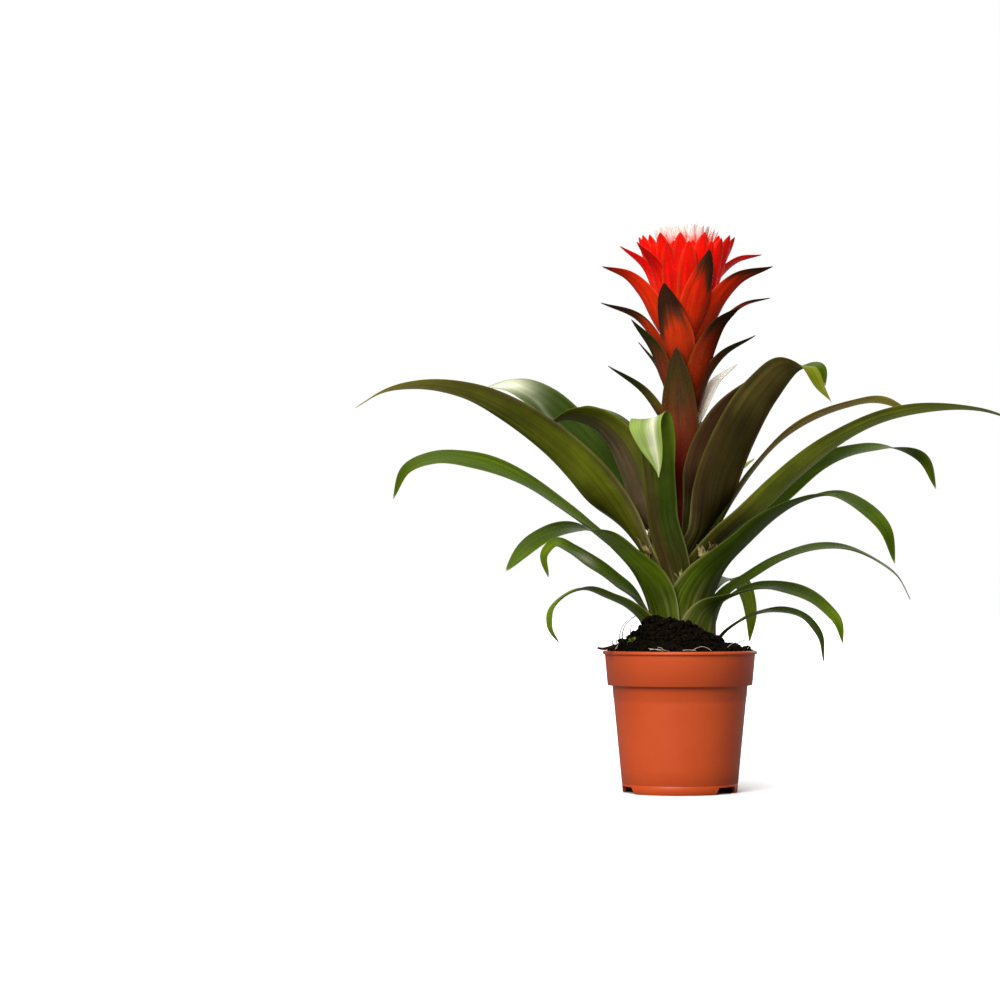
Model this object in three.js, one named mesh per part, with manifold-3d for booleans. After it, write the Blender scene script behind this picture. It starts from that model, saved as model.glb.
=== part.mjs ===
// A guzmania in a 12 cm nursery pot, in millimetres, +Z up. The origin is on the ground, under the middle of the plant's
// box. Every piece is shaped round the pot's axis, and the whole plant is then moved to POT_AXIS.
// The front is -Y. A heading is the direction a leaf takes, seen from above: 0 is right, 90 back, 180 left, 270 front.
import * as THREE from "three";
import { mergeVertices } from "three/addons/utils/BufferGeometryUtils.js";
import Module from "manifold-3d";

const wasm = await Module();
wasm.setup();

// Where the pot's axis stands, as [x, y]
const POT_AXIS = [-13, -26];

// Clear space between pieces that rest on each other
const GAP = 0.3;

// Pot
const LIP_R = 60.5;
const LIP_TOP = 110.5;
const LIP_DEPTH = 3;
const BAND_TOP_R = 58.9;
const BAND_FOOT_R = 56.7;
const BAND_FOOT = 83.5;
const BODY_TOP_R = 52.9;
const BODY_FOOT_R = 44.8;
const POT_WALL = 1.2;
const FOOT_WIDTH = 2.4;
const FLOOR_UNDER = 6.4;
const FLOOR_TOP = 7.8;
const POT_SIDES = 40;
const NOTCH_HEADINGS = [200, 326, 97];
const NOTCH_WIDTH = 26;
const NOTCH_HEIGHT = 5.4;
const DRAIN_COUNT = 6;
const DRAIN_R = 3.5;
const DRAIN_RING_R = 28;

// Crown: leaf sheaths stand in layers on the cone of the rootstock, outermost lowest
const SHEATH_OUTER_R = 31.2;
const LAYER = 1.1;
const CONE_TIP = 144;
const CONE_SLOPE = 1.15;
const ROOT_TOP_R = 31.9;
const ROOT_FOOT_R = 12;
const ROOT_FOOT = 62;
const ROOT_SHOULDER = 101;
const STALK_R = 5.4;
const STALK_TOP = 306;
// Above the crown the stalk leans a little to the right, by this much per mm of height
const LEAN = 0.015;
const LEAN_FROM = 150;

// Blades. Where two leaves press on each other, the inner one is cut back to leave LEAF_CLEAR between them.
const LEAF_THICK = 0.8;
const LEAF_CLEAR = 0.25;
const BRACT_THICK = 0.8;

// Each leaf, outermost first: the heading of its sheath and of its blade, the height where it leaves the crown, its
// width, its roll to the side in degrees at ROLL_STOPS and at the tip, half the angle of its sheath, and the line
// through the middle of its blade after it leaves the crown as [reach, height]. waist is its share of the width just
// above the sheath, a higher taper keeps it wide for longer, a higher point makes its end more slender, and drift is
// how far the tip's heading turns on from the blade's.
const LEAVES = [
  { name: "leaf_right_low", sheath: 300, heading: 333, leaves: 119, width: 26, roll: [15, 20, 20], arc: 35,
    rib: [[36, 145], [54, 157], [77, 161], [100, 157], [121, 147], [135, 133], [139, 117]] },
  { name: "leaf_right_lowest", sheath: 0, heading: 352, leaves: 113, width: 17, roll: [5, 5, 5], arc: 25,
    rib: [[51, 136], [80, 142], [98, 137], [109, 124], [113, 102]] },
  { name: "leaf_left_lowest", sheath: 210, heading: 195, leaves: 124, width: 22, roll: [10, 0, -20], arc: 30,
    rib: [[42, 145], [60, 154], [76, 159], [92, 154], [103, 142], [104, 128], [97, 117]] },
  { name: "leaf_right_mid", sheath: 30, heading: 14, leaves: 124, width: 24, roll: [0, 0, 0], arc: 25,
    rib: [[38, 154], [58, 169], [84, 184], [112, 192], [139, 191], [163, 181], [180, 168], [190, 150]] },
  { name: "leaf_left_low", sheath: 240, heading: 225, leaves: 130, width: 37, roll: [-5, -15, -25], arc: 30,
    rib: [[38, 166], [60, 187], [90, 203], [122, 204], [148, 196], [166, 185], [182, 171]] },
  { name: "leaf_left_folded", sheath: 180, heading: 175, leaves: 132, width: 26, roll: [-20, -25, -50], arc: 30,
    rib: [[34, 150], [50, 165], [68, 178], [86, 190], [98, 195], [107, 187], [104, 168]] },
  { name: "leaf_right_front", sheath: 300, heading: 325, leaves: 136, width: 35, roll: [0, 10, 20], arc: 60,
    rib: [[35, 168], [57, 193], [86, 215], [115, 227], [143, 230], [169, 219], [187, 202], [195, 177]] },
  { name: "leaf_back_right_low", sheath: 60, heading: 60, leaves: 138, width: 22, roll: [0, 0, 0], arc: 30,
    rib: [[44, 158], [66, 166], [86, 168], [101, 163], [111, 151], [116, 136], [114, 116]] },
  { name: "leaf_back_low", sheath: 90, heading: 95, leaves: 142, width: 28, roll: [0, 0, 0], arc: 60,
    rib: [[52, 174], [82, 188], [114, 186], [140, 168], [156, 143]] },
  { name: "leaf_left_mid", sheath: 180, heading: 188, leaves: 146, width: 32, roll: [-12, -36, -30], arc: 60,
    rib: [[35, 176], [58, 197], [85, 218], [122, 243], [161, 258], [193, 260], [214, 251], [224, 228]] },
  { name: "leaf_front", sheath: 270, heading: 243, leaves: 150, width: 38, roll: [0, 8, 12], arc: 30,
    waist: 0.72, taper: 7, point: 1.3, drift: 13,
    rib: [[26, 180], [31, 215], [37, 250], [43, 278], [51, 291], [60, 285], [65, 266], [67, 243]] },
  { name: "leaf_left_long", sheath: 180, heading: 205, leaves: 156, width: 36, roll: [42, 24, 10], arc: 60,
    rib: [[38, 202], [68, 236], [105, 270], [141, 293], [178, 308], [217, 312], [245, 306], [267, 293]] },
  { name: "leaf_right_back", sheath: 30, heading: 20, leaves: 158, width: 31, roll: [32, 20, -50], arc: 45,
    rib: [[32, 182], [54, 208], [83, 233], [116, 258], [152, 271], [184, 273], [210, 264], [221, 240]] },
  { name: "leaf_back_mid", sheath: 120, heading: 100, leaves: 162, width: 32, roll: [0, 0, 0], arc: 45,
    rib: [[30, 195], [52, 228], [86, 252], [124, 262], [160, 250], [184, 222]] },
  { name: "leaf_right_long", sheath: 330, heading: 352, leaves: 164, width: 34, roll: [-25, -15, -5], arc: 60,
    rib: [[32, 194], [57, 218], [88, 248], [120, 273], [157, 291], [197, 299], [235, 297], [271, 285]] },
  { name: "leaf_right_slim", sheath: 30, heading: 28, leaves: 170, width: 30, roll: [-25, -22, -20], arc: 60,
    rib: [[25, 195], [40, 220], [62, 250], [90, 278], [122, 297], [154, 308], [187, 313], [217, 303]] },
  { name: "leaf_left_back", sheath: 150, heading: 150, leaves: 174, width: 38, roll: [-32, -32, -20], arc: 60,
    rib: [[22, 202], [36, 225], [68, 257], [100, 289], [130, 313], [158, 325], [180, 324], [196, 316]] },
  { name: "leaf_left_dark", sheath: 210, heading: 192, leaves: 178, width: 38, roll: [50, 35, 20], arc: 60,
    rib: [[19, 202], [26, 225], [36, 255], [50, 278], [66, 291], [86, 294], [110, 283]] },
  { name: "leaf_right_dark", sheath: 330, heading: 318, leaves: 180, width: 36, roll: [-45, -45, 60], arc: 75,
    taper: 4, point: 1.2,
    rib: [[23, 205], [37, 240], [57, 277], [84, 310], [112, 328], [131, 325], [142, 310], [153, 298]] },
  { name: "leaf_left_young", sheath: 180, heading: 165, leaves: 190, width: 22, roll: [0, 0, 0], arc: 50,
    rib: [[18, 225], [24, 256], [36, 282], [54, 297], [74, 303], [92, 300]] },
  { name: "leaf_back_high", sheath: 90, heading: 85, leaves: 194, width: 32, roll: [0, 0, 0], arc: 50,
    rib: [[16, 215], [28, 250], [52, 278], [86, 294], [122, 292], [150, 272]] },
  { name: "leaf_right_dark_behind", sheath: 330, heading: 335, leaves: 200, width: 34, roll: [-40, -30, 0], arc: 50,
    rib: [[17, 241], [26, 270], [41, 293], [61, 310], [83, 322], [105, 330], [119, 328], [123, 314]] },
  { name: "leaf_back_young", sheath: 60, heading: 50, leaves: 204, width: 16, roll: [0, 0, 0], arc: 35,
    rib: [[26, 226], [45, 240], [64, 253], [88, 268]] },
];

// Bracts that clasp the stalk, lowest first: heading, height of the foot, width, roll past the foot in degrees, and
// midrib as [reach, height]
const STEM_BRACTS = [
  { heading: 190, foot: 262, width: 16, roll: 25, rib: [[14, 286], [30, 312], [60, 333]] },
  { heading: 160, foot: 266, width: 18, roll: 20, rib: [[14, 288], [22, 305], [40, 320]] },
  { heading: 30, foot: 268, width: 18, roll: 25, rib: [[13, 288], [20, 306], [30, 323], [49, 337]] },
  { heading: 254, foot: 224, width: 38, roll: 0, rib: [[12, 262], [15, 300], [18, 326], [21, 347]] },
  { heading: 100, foot: 240, width: 26, roll: 0, rib: [[11, 270], [14, 305], [24, 340]] },
  { heading: 175, foot: 280, width: 16, roll: 20, rib: [[13, 312], [22, 335], [36, 353]] },
  { heading: 350, foot: 272, width: 18, roll: -25, rib: [[13, 302], [19, 325], [31, 342], [57, 357]] },
  { heading: 200, foot: 290, width: 22, roll: 25, rib: [[15, 322], [24, 346], [44, 369]] },
  { heading: 320, foot: 288, width: 26, roll: -25, rib: [[15, 322], [23, 346], [35, 364], [57, 377]] },
];

// Outer red bracts, lowest first
const OUTER_RED = [
  { heading: 185, foot: 320, width: 16, roll: 30, rib: [[20, 350], [36, 371], [66, 383]] },
  { heading: 5, foot: 324, width: 18, roll: -25, rib: [[20, 354], [34, 372], [48, 383], [68, 388]] },
  { heading: 243, foot: 318, width: 34, roll: 0, rib: [[17, 345], [24, 370], [34, 396]] },
  { heading: 90, foot: 322, width: 28, roll: 0, rib: [[18, 350], [28, 378], [50, 400]] },
  { heading: 195, foot: 334, width: 26, roll: 30, rib: [[20, 364], [32, 390], [45, 403], [67, 410]] },
  { heading: 345, foot: 334, width: 28, roll: -30, rib: [[20, 364], [29, 386], [43, 401], [71, 410]] },
  { heading: 165, foot: 345, width: 20, roll: 20, rib: [[20, 376], [34, 400], [56, 411]] },
  { heading: 45, foot: 340, width: 24, roll: -15, rib: [[20, 368], [34, 396], [60, 412]] },
  { heading: 300, foot: 338, width: 30, roll: 0, rib: [[19, 368], [27, 396], [37, 422]] },
  { heading: 125, foot: 342, width: 24, roll: 15, rib: [[20, 370], [32, 398], [56, 414]] },
  { heading: 12, foot: 352, width: 24, roll: -25, rib: [[20, 386], [30, 407], [42, 418], [62, 423]] },
  { heading: 190, foot: 356, width: 22, roll: 25, rib: [[20, 386], [32, 412], [52, 427]] },
  { heading: 218, foot: 356, width: 24, roll: 12, rib: [[19, 386], [29, 410], [48, 428]] },
];

const rad = THREE.MathUtils.degToRad;
const smooth = (x) => THREE.MathUtils.smoothstep(x, 0, 1);
const lerp = THREE.MathUtils.lerp;

// A closed geometry from points and triangles
function solid(points, faces) {
  const geometry = new THREE.BufferGeometry();
  geometry.setAttribute("position", new THREE.Float32BufferAttribute(points.flat(), 3));
  geometry.setIndex(faces.flat());
  return geometry;
}

function toManifold(geometry) {
  const bare = geometry.clone();
  bare.deleteAttribute("normal");
  bare.deleteAttribute("uv");
  const merged = mergeVertices(bare, 1e-4);
  return new wasm.Manifold(new wasm.Mesh({
    numProp: 3,
    vertProperties: new Float32Array(merged.attributes.position.array),
    triVerts: new Uint32Array(merged.index.array),
  }));
}

function fromManifold(body) {
  const mesh = body.getMesh();
  const geometry = new THREE.BufferGeometry();
  geometry.setAttribute("position", new THREE.Float32BufferAttribute(mesh.vertProperties, 3));
  geometry.setIndex(Array.from(mesh.triVerts));
  return geometry;
}

// A midrib as a smooth line through its knots, which starts straight up. place(s) gives its point at s from 0 to 1.
function midrib(knots) {
  const points = knots.map(([reach, height]) => new THREE.Vector2(reach, height));
  const spans = points.slice(1).map((p, i) => p.distanceTo(points[i]));
  const ways = points.slice(1).map((p, i) => p.clone().sub(points[i]).divideScalar(spans[i]));
  const slopes = points.map((_, i) => {
    if (i === 0) return new THREE.Vector2(0, 1);
    if (i === ways.length) return ways[i - 1].clone();
    const share = spans[i - 1] / (spans[i - 1] + spans[i]);
    return ways[i - 1].clone().lerp(ways[i], share);
  });
  const length = spans.reduce((sum, span) => sum + span, 0);
  const place = (s) => {
    let i = 0;
    let along = s * length;
    while (i < spans.length - 1 && along > spans[i]) {
      along -= spans[i];
      i += 1;
    }
    const t = along / spans[i];
    const a = 2 * t ** 3 - 3 * t ** 2 + 1;
    const b = t ** 3 - 2 * t ** 2 + t;
    const c = t ** 3 - t ** 2;
    return points[i].clone().multiplyScalar(a)
      .addScaledVector(slopes[i], b * spans[i])
      .addScaledVector(points[i + 1], 1 - a)
      .addScaledVector(slopes[i + 1], c * spans[i]);
  };
  return { place, length };
}

// A blade as a closed skin round a midrib. Each section is { at, side, up, width, bend } with bend its radius of
// curvature; thick is its thickness. Both faces are split into triangles the same way, so they never cross.
function skin(sections, across, thick) {
  const points = [];
  const row = 2 * (across + 1);
  for (const { at, side, up, width, bend } of sections) {
    for (const face of [1, -1]) {
      for (let j = 0; j <= across; j += 1) {
        const angle = (j / across - 0.5) * width / bend;
        const r = bend - face * thick / 2;
        points.push(at.clone().addScaledVector(side, r * Math.sin(angle))
          .addScaledVector(up, bend - r * Math.cos(angle)).toArray());
      }
    }
  }
  const faces = [];
  const last = (sections.length - 1) * row;
  for (let i = 0; i < sections.length - 1; i += 1) {
    for (let j = 0; j < across; j += 1) {
      const a = i * row + j;
      const b = a + row;
      const under = across + 1;
      faces.push([a, b, a + 1], [a + 1, b, b + 1]);
      faces.push([a + under, a + 1 + under, b + under], [a + 1 + under, b + 1 + under, b + under]);
    }
    const left = i * row;
    const right = left + across;
    const lower = across + 1;
    faces.push([left, left + lower, left + row], [left + lower, left + row + lower, left + row]);
    faces.push([right, right + row, right + lower], [right + lower, right + row, right + row + lower]);
  }
  for (let j = 0; j < across; j += 1) {
    const under = j + across + 1;
    faces.push([j, j + 1, under], [j + 1, under + 1, under]);
    faces.push([last + j, last + under, last + j + 1], [last + j + 1, last + under, last + under + 1]);
  }
  return solid(points, faces);
}

// Sections along a blade: knots are its midrib, headingAt and shapeAt give its direction and its { width, bend, roll }
function sectionsAlong(knots, stops, headingAt, shapeAt) {
  const rib = midrib(knots);
  const spot = (s) => {
    const p = rib.place(s);
    const heading = headingAt(s);
    return new THREE.Vector3(p.x * Math.cos(heading), p.x * Math.sin(heading), p.y);
  };
  const step = 0.002;
  return stops.map((s) => {
    const at = spot(s);
    const way = spot(Math.min(s + step, 1)).sub(spot(Math.max(s - step, 0)));
    if (s === 0) way.set(0, 0, 1);
    way.normalize();
    const heading = headingAt(s);
    const level = new THREE.Vector3(-Math.sin(heading), Math.cos(heading), 0);
    const flat = level.addScaledVector(way, -level.dot(way)).normalize();
    const { width, bend, roll } = shapeAt(s);
    const side = flat.clone().applyAxisAngle(way, roll);
    const up = new THREE.Vector3().crossVectors(way, side);
    return { at, side, up, width, bend };
  });
}

const LEAF_STOPS = [0, 0.07, 0.14, 0.22, 0.31, 0.4, 0.5, 0.6, 0.7, 0.79, 0.87, 0.94, 1];
const LEAF_ACROSS = 4;
const TIP_WIDTH = 1.6;
const SHEATH_END = 0.08;
const ROLL_STOPS = [0.3, 0.7];

// A leaf's sheath isn't rolled; from there on the roll goes smoothly from one value to the next
function rollAlong([near, far, tip], s) {
  if (s < ROLL_STOPS[0]) return near * smooth((s - SHEATH_END) / (ROLL_STOPS[0] - SHEATH_END));
  if (s < ROLL_STOPS[1]) return lerp(near, far, (s - ROLL_STOPS[0]) / (ROLL_STOPS[1] - ROLL_STOPS[0]));
  return lerp(far, tip, smooth((s - ROLL_STOPS[1]) / (1 - ROLL_STOPS[1])));
}

// A leaf as a closed blade, swollen on all sides by the margin
function leafBlade(leaf, layer, margin) {
  const { waist = 1, taper = 3, point = 0.8, drift = 0 } = leaf;
  const radius = SHEATH_OUTER_R - LAYER * layer;
  const arc = rad(leaf.arc);
  const innerFace = radius * Math.cos(arc / LEAF_ACROSS) - LEAF_THICK / 2;
  const foot = CONE_TIP + 1.5 * GAP - CONE_SLOPE * innerFace;
  const turn = ((leaf.heading - leaf.sheath + 540) % 360) - 180;
  const headingAt = (s) => rad(leaf.sheath + turn * smooth(s / 0.35) + drift * smooth((s - 0.72) / 0.28));
  const shapeAt = (s) => {
    const sheathWidth = 2 * arc * radius;
    const strap = leaf.width * lerp(waist, 1, smooth((s - 0.45) / 0.3)) * Math.max(0, 1 - s ** taper) ** point;
    const width = Math.max(TIP_WIDTH, lerp(sheathWidth, strap, smooth(s / 0.25)));
    const bend = lerp(radius, leaf.width * 1.1, smooth(s / 0.4));
    const roll = rad(rollAlong(leaf.roll, s));
    return { width: width + 2 * margin, bend, roll };
  };
  const knots = [[radius, leaf.leaves], ...leaf.rib];
  const sections = sectionsAlong(knots, LEAF_STOPS, headingAt, shapeAt);
  // Past the sheath the line is the middle of the blade's depth, so the keel lies half a depth under it
  sections.forEach(({ at, up, width, bend }, i) => {
    const depth = bend * (1 - Math.cos((width / 2 - margin) / bend));
    at.addScaledVector(up, (-depth / 2) * smooth(LEAF_STOPS[i] / 0.3));
  });
  const sole = { ...sections[0], at: sections[0].at.clone().setZ(foot) };
  return skin([sole, ...sections], LEAF_ACROSS, LEAF_THICK + 2 * margin);
}

function largestBody(body) {
  return body.decompose().reduce((best, piece) => (piece.volume() > best.volume() ? piece : best));
}

// All the leaves from the outside in, each cut clear of those outside it
function leafShapes() {
  const outside = [];
  return LEAVES.map((leaf, layer) => {
    let body = toManifold(leafBlade(leaf, layer, 0));
    for (const wall of outside) {
      if (body.intersect(wall).volume() > 0) body = largestBody(body.subtract(wall));
    }
    outside.push(toManifold(leafBlade(leaf, layer, LEAF_CLEAR)));
    return fromManifold(body);
  });
}

const BRACT_STOPS = [0, 0.25, 0.5, 0.78, 1];

// A bract that clasps an axis of the given radius at its foot, bellies out and ends in a point
function bractBlade(bract, coreRadius, across) {
  const start = coreRadius - 1.2;
  const headingAt = () => rad(bract.heading);
  const shapeAt = (s) => ({
    width: Math.max(1.2, bract.width * (0.62 + 0.38 * smooth(s / 0.4)) * Math.pow(1 - s ** 2.2, 0.9)),
    bend: lerp(Math.max(coreRadius, bract.width / 3.4), bract.width * 0.8, smooth(s / 0.8)),
    roll: rad(bract.roll * smooth(s / 0.5)),
  });
  return skin(sectionsAlong([[start, bract.foot], ...bract.rib], BRACT_STOPS, headingAt, shapeAt), across, BRACT_THICK);
}

// What grows on the stalk leans with it
function leaning(geometry) {
  const place = geometry.attributes.position;
  for (let i = 0; i < place.count; i += 1) {
    place.setX(i, place.getX(i) + LEAN * Math.max(0, place.getZ(i) - LEAN_FROM));
  }
  return geometry;
}

function turned(profile, sides) {
  return new THREE.LatheGeometry(profile.map(([r, z]) => new THREE.Vector2(r, z)), sides).rotateX(Math.PI / 2);
}

function lathed(profile, sides) {
  return toManifold(turned(profile, sides));
}

function potShape() {
  const profile = [
    [0, FLOOR_UNDER], [BODY_FOOT_R - FOOT_WIDTH, FLOOR_UNDER], [BODY_FOOT_R - FOOT_WIDTH, 0], [BODY_FOOT_R, 0],
    [BODY_TOP_R, BAND_FOOT], [BAND_FOOT_R, BAND_FOOT], [BAND_TOP_R, LIP_TOP - LIP_DEPTH],
    [LIP_R - 0.4, LIP_TOP - LIP_DEPTH + 0.3], [LIP_R, LIP_TOP - LIP_DEPTH / 2], [LIP_R - 0.6, LIP_TOP - 0.3],
    [LIP_R - 1.4, LIP_TOP], [BAND_TOP_R - POT_WALL, LIP_TOP - 0.8], [BAND_FOOT_R - POT_WALL, BAND_FOOT + POT_WALL],
    [BODY_TOP_R - POT_WALL, BAND_FOOT + POT_WALL], [BODY_FOOT_R - POT_WALL, FLOOR_TOP], [0, FLOOR_TOP],
  ];
  let pot = lathed(profile, POT_SIDES);
  for (const heading of NOTCH_HEADINGS) {
    const notch = new THREE.Shape();
    notch.moveTo(-NOTCH_WIDTH / 2 - 1, -1);
    notch.lineTo(NOTCH_WIDTH / 2 + 1, -1);
    notch.lineTo(NOTCH_WIDTH / 2 - 2, NOTCH_HEIGHT);
    notch.lineTo(-NOTCH_WIDTH / 2 + 2, NOTCH_HEIGHT);
    const cutter = new THREE.ExtrudeGeometry(notch, { depth: 14, bevelEnabled: false });
    cutter.rotateX(Math.PI / 2).translate(0, BODY_FOOT_R + 5, 0).rotateZ(rad(heading - 90));
    pot = pot.subtract(toManifold(cutter));
  }
  for (let i = 0; i < DRAIN_COUNT; i += 1) {
    const drain = new THREE.CylinderGeometry(DRAIN_R, DRAIN_R, 6, 10).rotateX(Math.PI / 2);
    const angle = (2 * Math.PI * i) / DRAIN_COUNT;
    drain.translate(DRAIN_RING_R * Math.cos(angle), DRAIN_RING_R * Math.sin(angle), FLOOR_TOP);
    pot = pot.subtract(toManifold(drain));
  }
  return fromManifold(pot);
}

// Height of the peat: a mound in front and to the left of the crown, low crumbs to the right, lumps all over
function soilTop(r, angle) {
  const frontLeft = Math.max(0, Math.cos(angle - rad(248)));
  const back = Math.max(0, Math.cos(angle - rad(100)));
  const rise = 5 + 19 * frontLeft + 8 * back;
  const near = THREE.MathUtils.clamp((57 - r) / 23, 0, 1);
  const lumps = 0.9 * Math.sin(7 * angle + r * 0.35) + 0.7 * Math.sin(11 * angle - r * 0.6) + 0.5 * Math.sin(r * 1.1);
  return 111 + rise * near ** 1.2 + lumps * Math.min(1, near * 4);
}

const SOIL_SIDES = 44;
const SOIL_RINGS = [38, 42, 46, 50, 54, 57];

function soilShape() {
  const hole = ROOT_TOP_R + 0.5;
  const rootHole = [[ROOT_FOOT_R + GAP, ROOT_FOOT - GAP], [hole, ROOT_SHOULDER - 1]];
  const potInside = [
    [BAND_TOP_R - POT_WALL - GAP - 0.4, LIP_TOP - 2.5], [BAND_FOOT_R - POT_WALL - GAP, BAND_FOOT + POT_WALL + GAP],
    [BODY_TOP_R - POT_WALL - GAP, BAND_FOOT + POT_WALL + GAP], [BODY_FOOT_R - POT_WALL - GAP, FLOOR_TOP + GAP],
  ];
  const points = [[0, 0, ROOT_FOOT - GAP]];
  for (let i = 0; i < SOIL_SIDES; i += 1) {
    const angle = (2 * Math.PI * i) / SOIL_SIDES;
    const top = [hole, ...SOIL_RINGS].map((r) => [r, soilTop(r, angle)]);
    for (const [r, z] of [...rootHole, ...top, ...potInside]) {
      points.push([r * Math.cos(angle), r * Math.sin(angle), z]);
    }
  }
  points.push([0, 0, FLOOR_TOP + GAP]);
  const size = rootHole.length + 1 + SOIL_RINGS.length + potInside.length;
  const faces = [];
  for (let i = 0; i < SOIL_SIDES; i += 1) {
    const a = 1 + i * size;
    const b = 1 + ((i + 1) % SOIL_SIDES) * size;
    faces.push([0, a, b], [points.length - 1, b + size - 1, a + size - 1]);
    for (let j = 0; j < size - 1; j += 1) {
      faces.push([a + j, a + j + 1, b + j], [b + j, a + j + 1, b + j + 1]);
    }
  }
  return solid(points, faces);
}

function stemShape() {
  const onCone = (r) => CONE_TIP - CONE_SLOPE * r;
  const axis = lathed([
    [0, ROOT_FOOT], [ROOT_FOOT_R, ROOT_FOOT], [ROOT_TOP_R, ROOT_SHOULDER], [ROOT_TOP_R, onCone(ROOT_TOP_R)],
    [STALK_R, onCone(STALK_R)], [STALK_R, 230], [STALK_R + 1, STALK_TOP], [0, STALK_TOP],
  ], 16);
  const bracts = STEM_BRACTS.map((bract) => toManifold(bractBlade(bract, STALK_R + 0.6, 4)));
  return leaning(fromManifold(wasm.Manifold.union([axis, ...bracts])));
}

const RED_FOOT = STALK_TOP + GAP;
const RED_TOP = 404;
const INNER_RED = 20;
const GOLDEN = 137.5;

function redShape() {
  const core = lathed([
    [0, RED_FOOT], [STALK_R, RED_FOOT], [9, 350], [15, 385], [17, RED_TOP - 4], [14, RED_TOP], [0, RED_TOP],
  ], 14);
  const outer = OUTER_RED.map((bract) => toManifold(bractBlade(bract, 7, 4)));
  const inner = [];
  for (let i = 0; i < INNER_RED; i += 1) {
    const f = i / (INNER_RED - 1);
    inner.push(toManifold(bractBlade({
      heading: i * GOLDEN,
      foot: 352 + 30 * f,
      width: 20 - 5 * f,
      roll: 0,
      rib: [[21 - f, 388 + 14 * f], [29 - 4 * f, 412 + 8 * f], [38 - 12 * f, 430 + 8 * f]],
    }, 12, 2)));
  }
  return leaning(fromManifold(wasm.Manifold.union([core, ...outer, ...inner])));
}

const FLORETS = 38;
const FLORET_R = 2.5;
const FLORET_LENGTH = 26;
const FLORET_RING_R = 23;
const FLORET_TOP = 447.5;
const FLORET_SPLAY = 0.3;
const DOME_DROP = 9;

// The tips of the flowers, a domed tuft of slender cones that splay a little
function floretShape() {
  const dome = lathed([
    [0, RED_TOP + GAP], [15, RED_TOP + GAP], [17.5, 412], [16, 422], [10, 430], [0, 432],
  ], 12);
  const florets = [];
  for (let i = 0; i < FLORETS; i += 1) {
    const f = Math.sqrt((i + 0.5) / FLORETS);
    const angle = rad(i * GOLDEN);
    const r = FLORET_RING_R * f;
    const floret = new THREE.ConeGeometry(FLORET_R, FLORET_LENGTH, 5).rotateX(Math.PI / 2);
    floret.translate(0, 0, -FLORET_LENGTH / 2).rotateY(Math.atan2(FLORET_SPLAY * r, FLORET_LENGTH)).rotateZ(angle);
    floret.translate(r * Math.cos(angle), r * Math.sin(angle), FLORET_TOP - DOME_DROP * f * f);
    florets.push(toManifold(floret));
  }
  return leaning(fromManifold(wasm.Manifold.union([dome, ...florets])));
}

const finish = (color, roughness) => new THREE.MeshStandardMaterial({ color, roughness, metalness: 0 });
const TERRACOTTA = finish(0xc8552d, 0.55);
const PEAT = finish(0x2a1c14, 0.95);
const GREEN = finish(0x3d6b1c, 0.4);
const DARK_LEAF = finish(0x3a3018, 0.4);
const STEM = finish(0x4a2418, 0.5);
const RED = finish(0xe61e0a, 0.45);
const WHITE = finish(0xf6e3dc, 0.5);

const plant = new THREE.Group();
plant.position.set(...POT_AXIS, 0);

function place(name, geometry, material) {
  const mesh = new THREE.Mesh(geometry, material);
  mesh.name = name;
  plant.add(mesh);
}

place("pot", potShape(), TERRACOTTA);
place("potting_soil", soilShape(), PEAT);
place("flower_stem", stemShape(), STEM);
leafShapes().forEach((shape, i) => {
  const { name } = LEAVES[i];
  place(name, shape, name.includes("dark") ? DARK_LEAF : GREEN);
});
place("red_bracts", redShape(), RED);
place("florets", floretShape(), WHITE);

export default plant;
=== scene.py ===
"""A guzmania in its nursery pot, dressed for the camera. The tables are in millimetres, the model is in metres."""
import math
import random

import bpy
from mathutils import Matrix, Vector, noise


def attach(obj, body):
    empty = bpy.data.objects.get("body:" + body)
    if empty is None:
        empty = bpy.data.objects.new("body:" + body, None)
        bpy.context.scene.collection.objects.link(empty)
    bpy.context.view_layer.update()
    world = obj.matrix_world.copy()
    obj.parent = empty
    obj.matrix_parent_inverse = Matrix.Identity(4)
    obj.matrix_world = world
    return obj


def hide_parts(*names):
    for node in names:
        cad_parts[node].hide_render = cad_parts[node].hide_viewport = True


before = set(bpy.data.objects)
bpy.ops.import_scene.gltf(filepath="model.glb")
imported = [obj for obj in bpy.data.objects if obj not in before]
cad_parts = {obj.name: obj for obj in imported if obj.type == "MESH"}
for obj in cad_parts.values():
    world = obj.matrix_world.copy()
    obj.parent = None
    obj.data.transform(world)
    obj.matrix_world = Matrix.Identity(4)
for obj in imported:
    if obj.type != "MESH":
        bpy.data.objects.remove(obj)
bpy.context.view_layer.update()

MM = 0.001
GAP = 0.3

# Pieces are shaped round the pot's axis, and then moved to where it stands in the frame, in metres
POT_AT = Vector((-0.013, -0.026, 0))

# Pot
LIP_R = 60.5
LIP_TOP = 110.5
LIP_DEPTH = 3
BAND_TOP_R = 58.9
BAND_FOOT_R = 56.7
BAND_FOOT = 83.5
BODY_TOP_R = 52.9
BODY_FOOT_R = 44.8
POT_WALL = 1.2
FOOT_WIDTH = 2.4
FLOOR_UNDER = 6.4
FLOOR_TOP = 7.8
NOTCH_HEADINGS = [200, 326, 97]
NOTCH_WIDTH = 26
NOTCH_HEIGHT = 5.4
DRAIN_COUNT = 6
DRAIN_R = 3.5
DRAIN_RING_R = 28

# Crown and stalk
SHEATH_OUTER_R = 31.2
LAYER = 1.1
CONE_TIP = 144
CONE_SLOPE = 1.15
ROOT_TOP_R = 31.9
ROOT_FOOT_R = 12
ROOT_FOOT = 62
ROOT_SHOULDER = 101
STALK_R = 5.4
STALK_TOP = 306
LEAN = 0.015
LEAN_FROM = 150
RED_FOOT = STALK_TOP + GAP
RED_TOP = 404
GOLDEN = math.radians(137.5)

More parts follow.
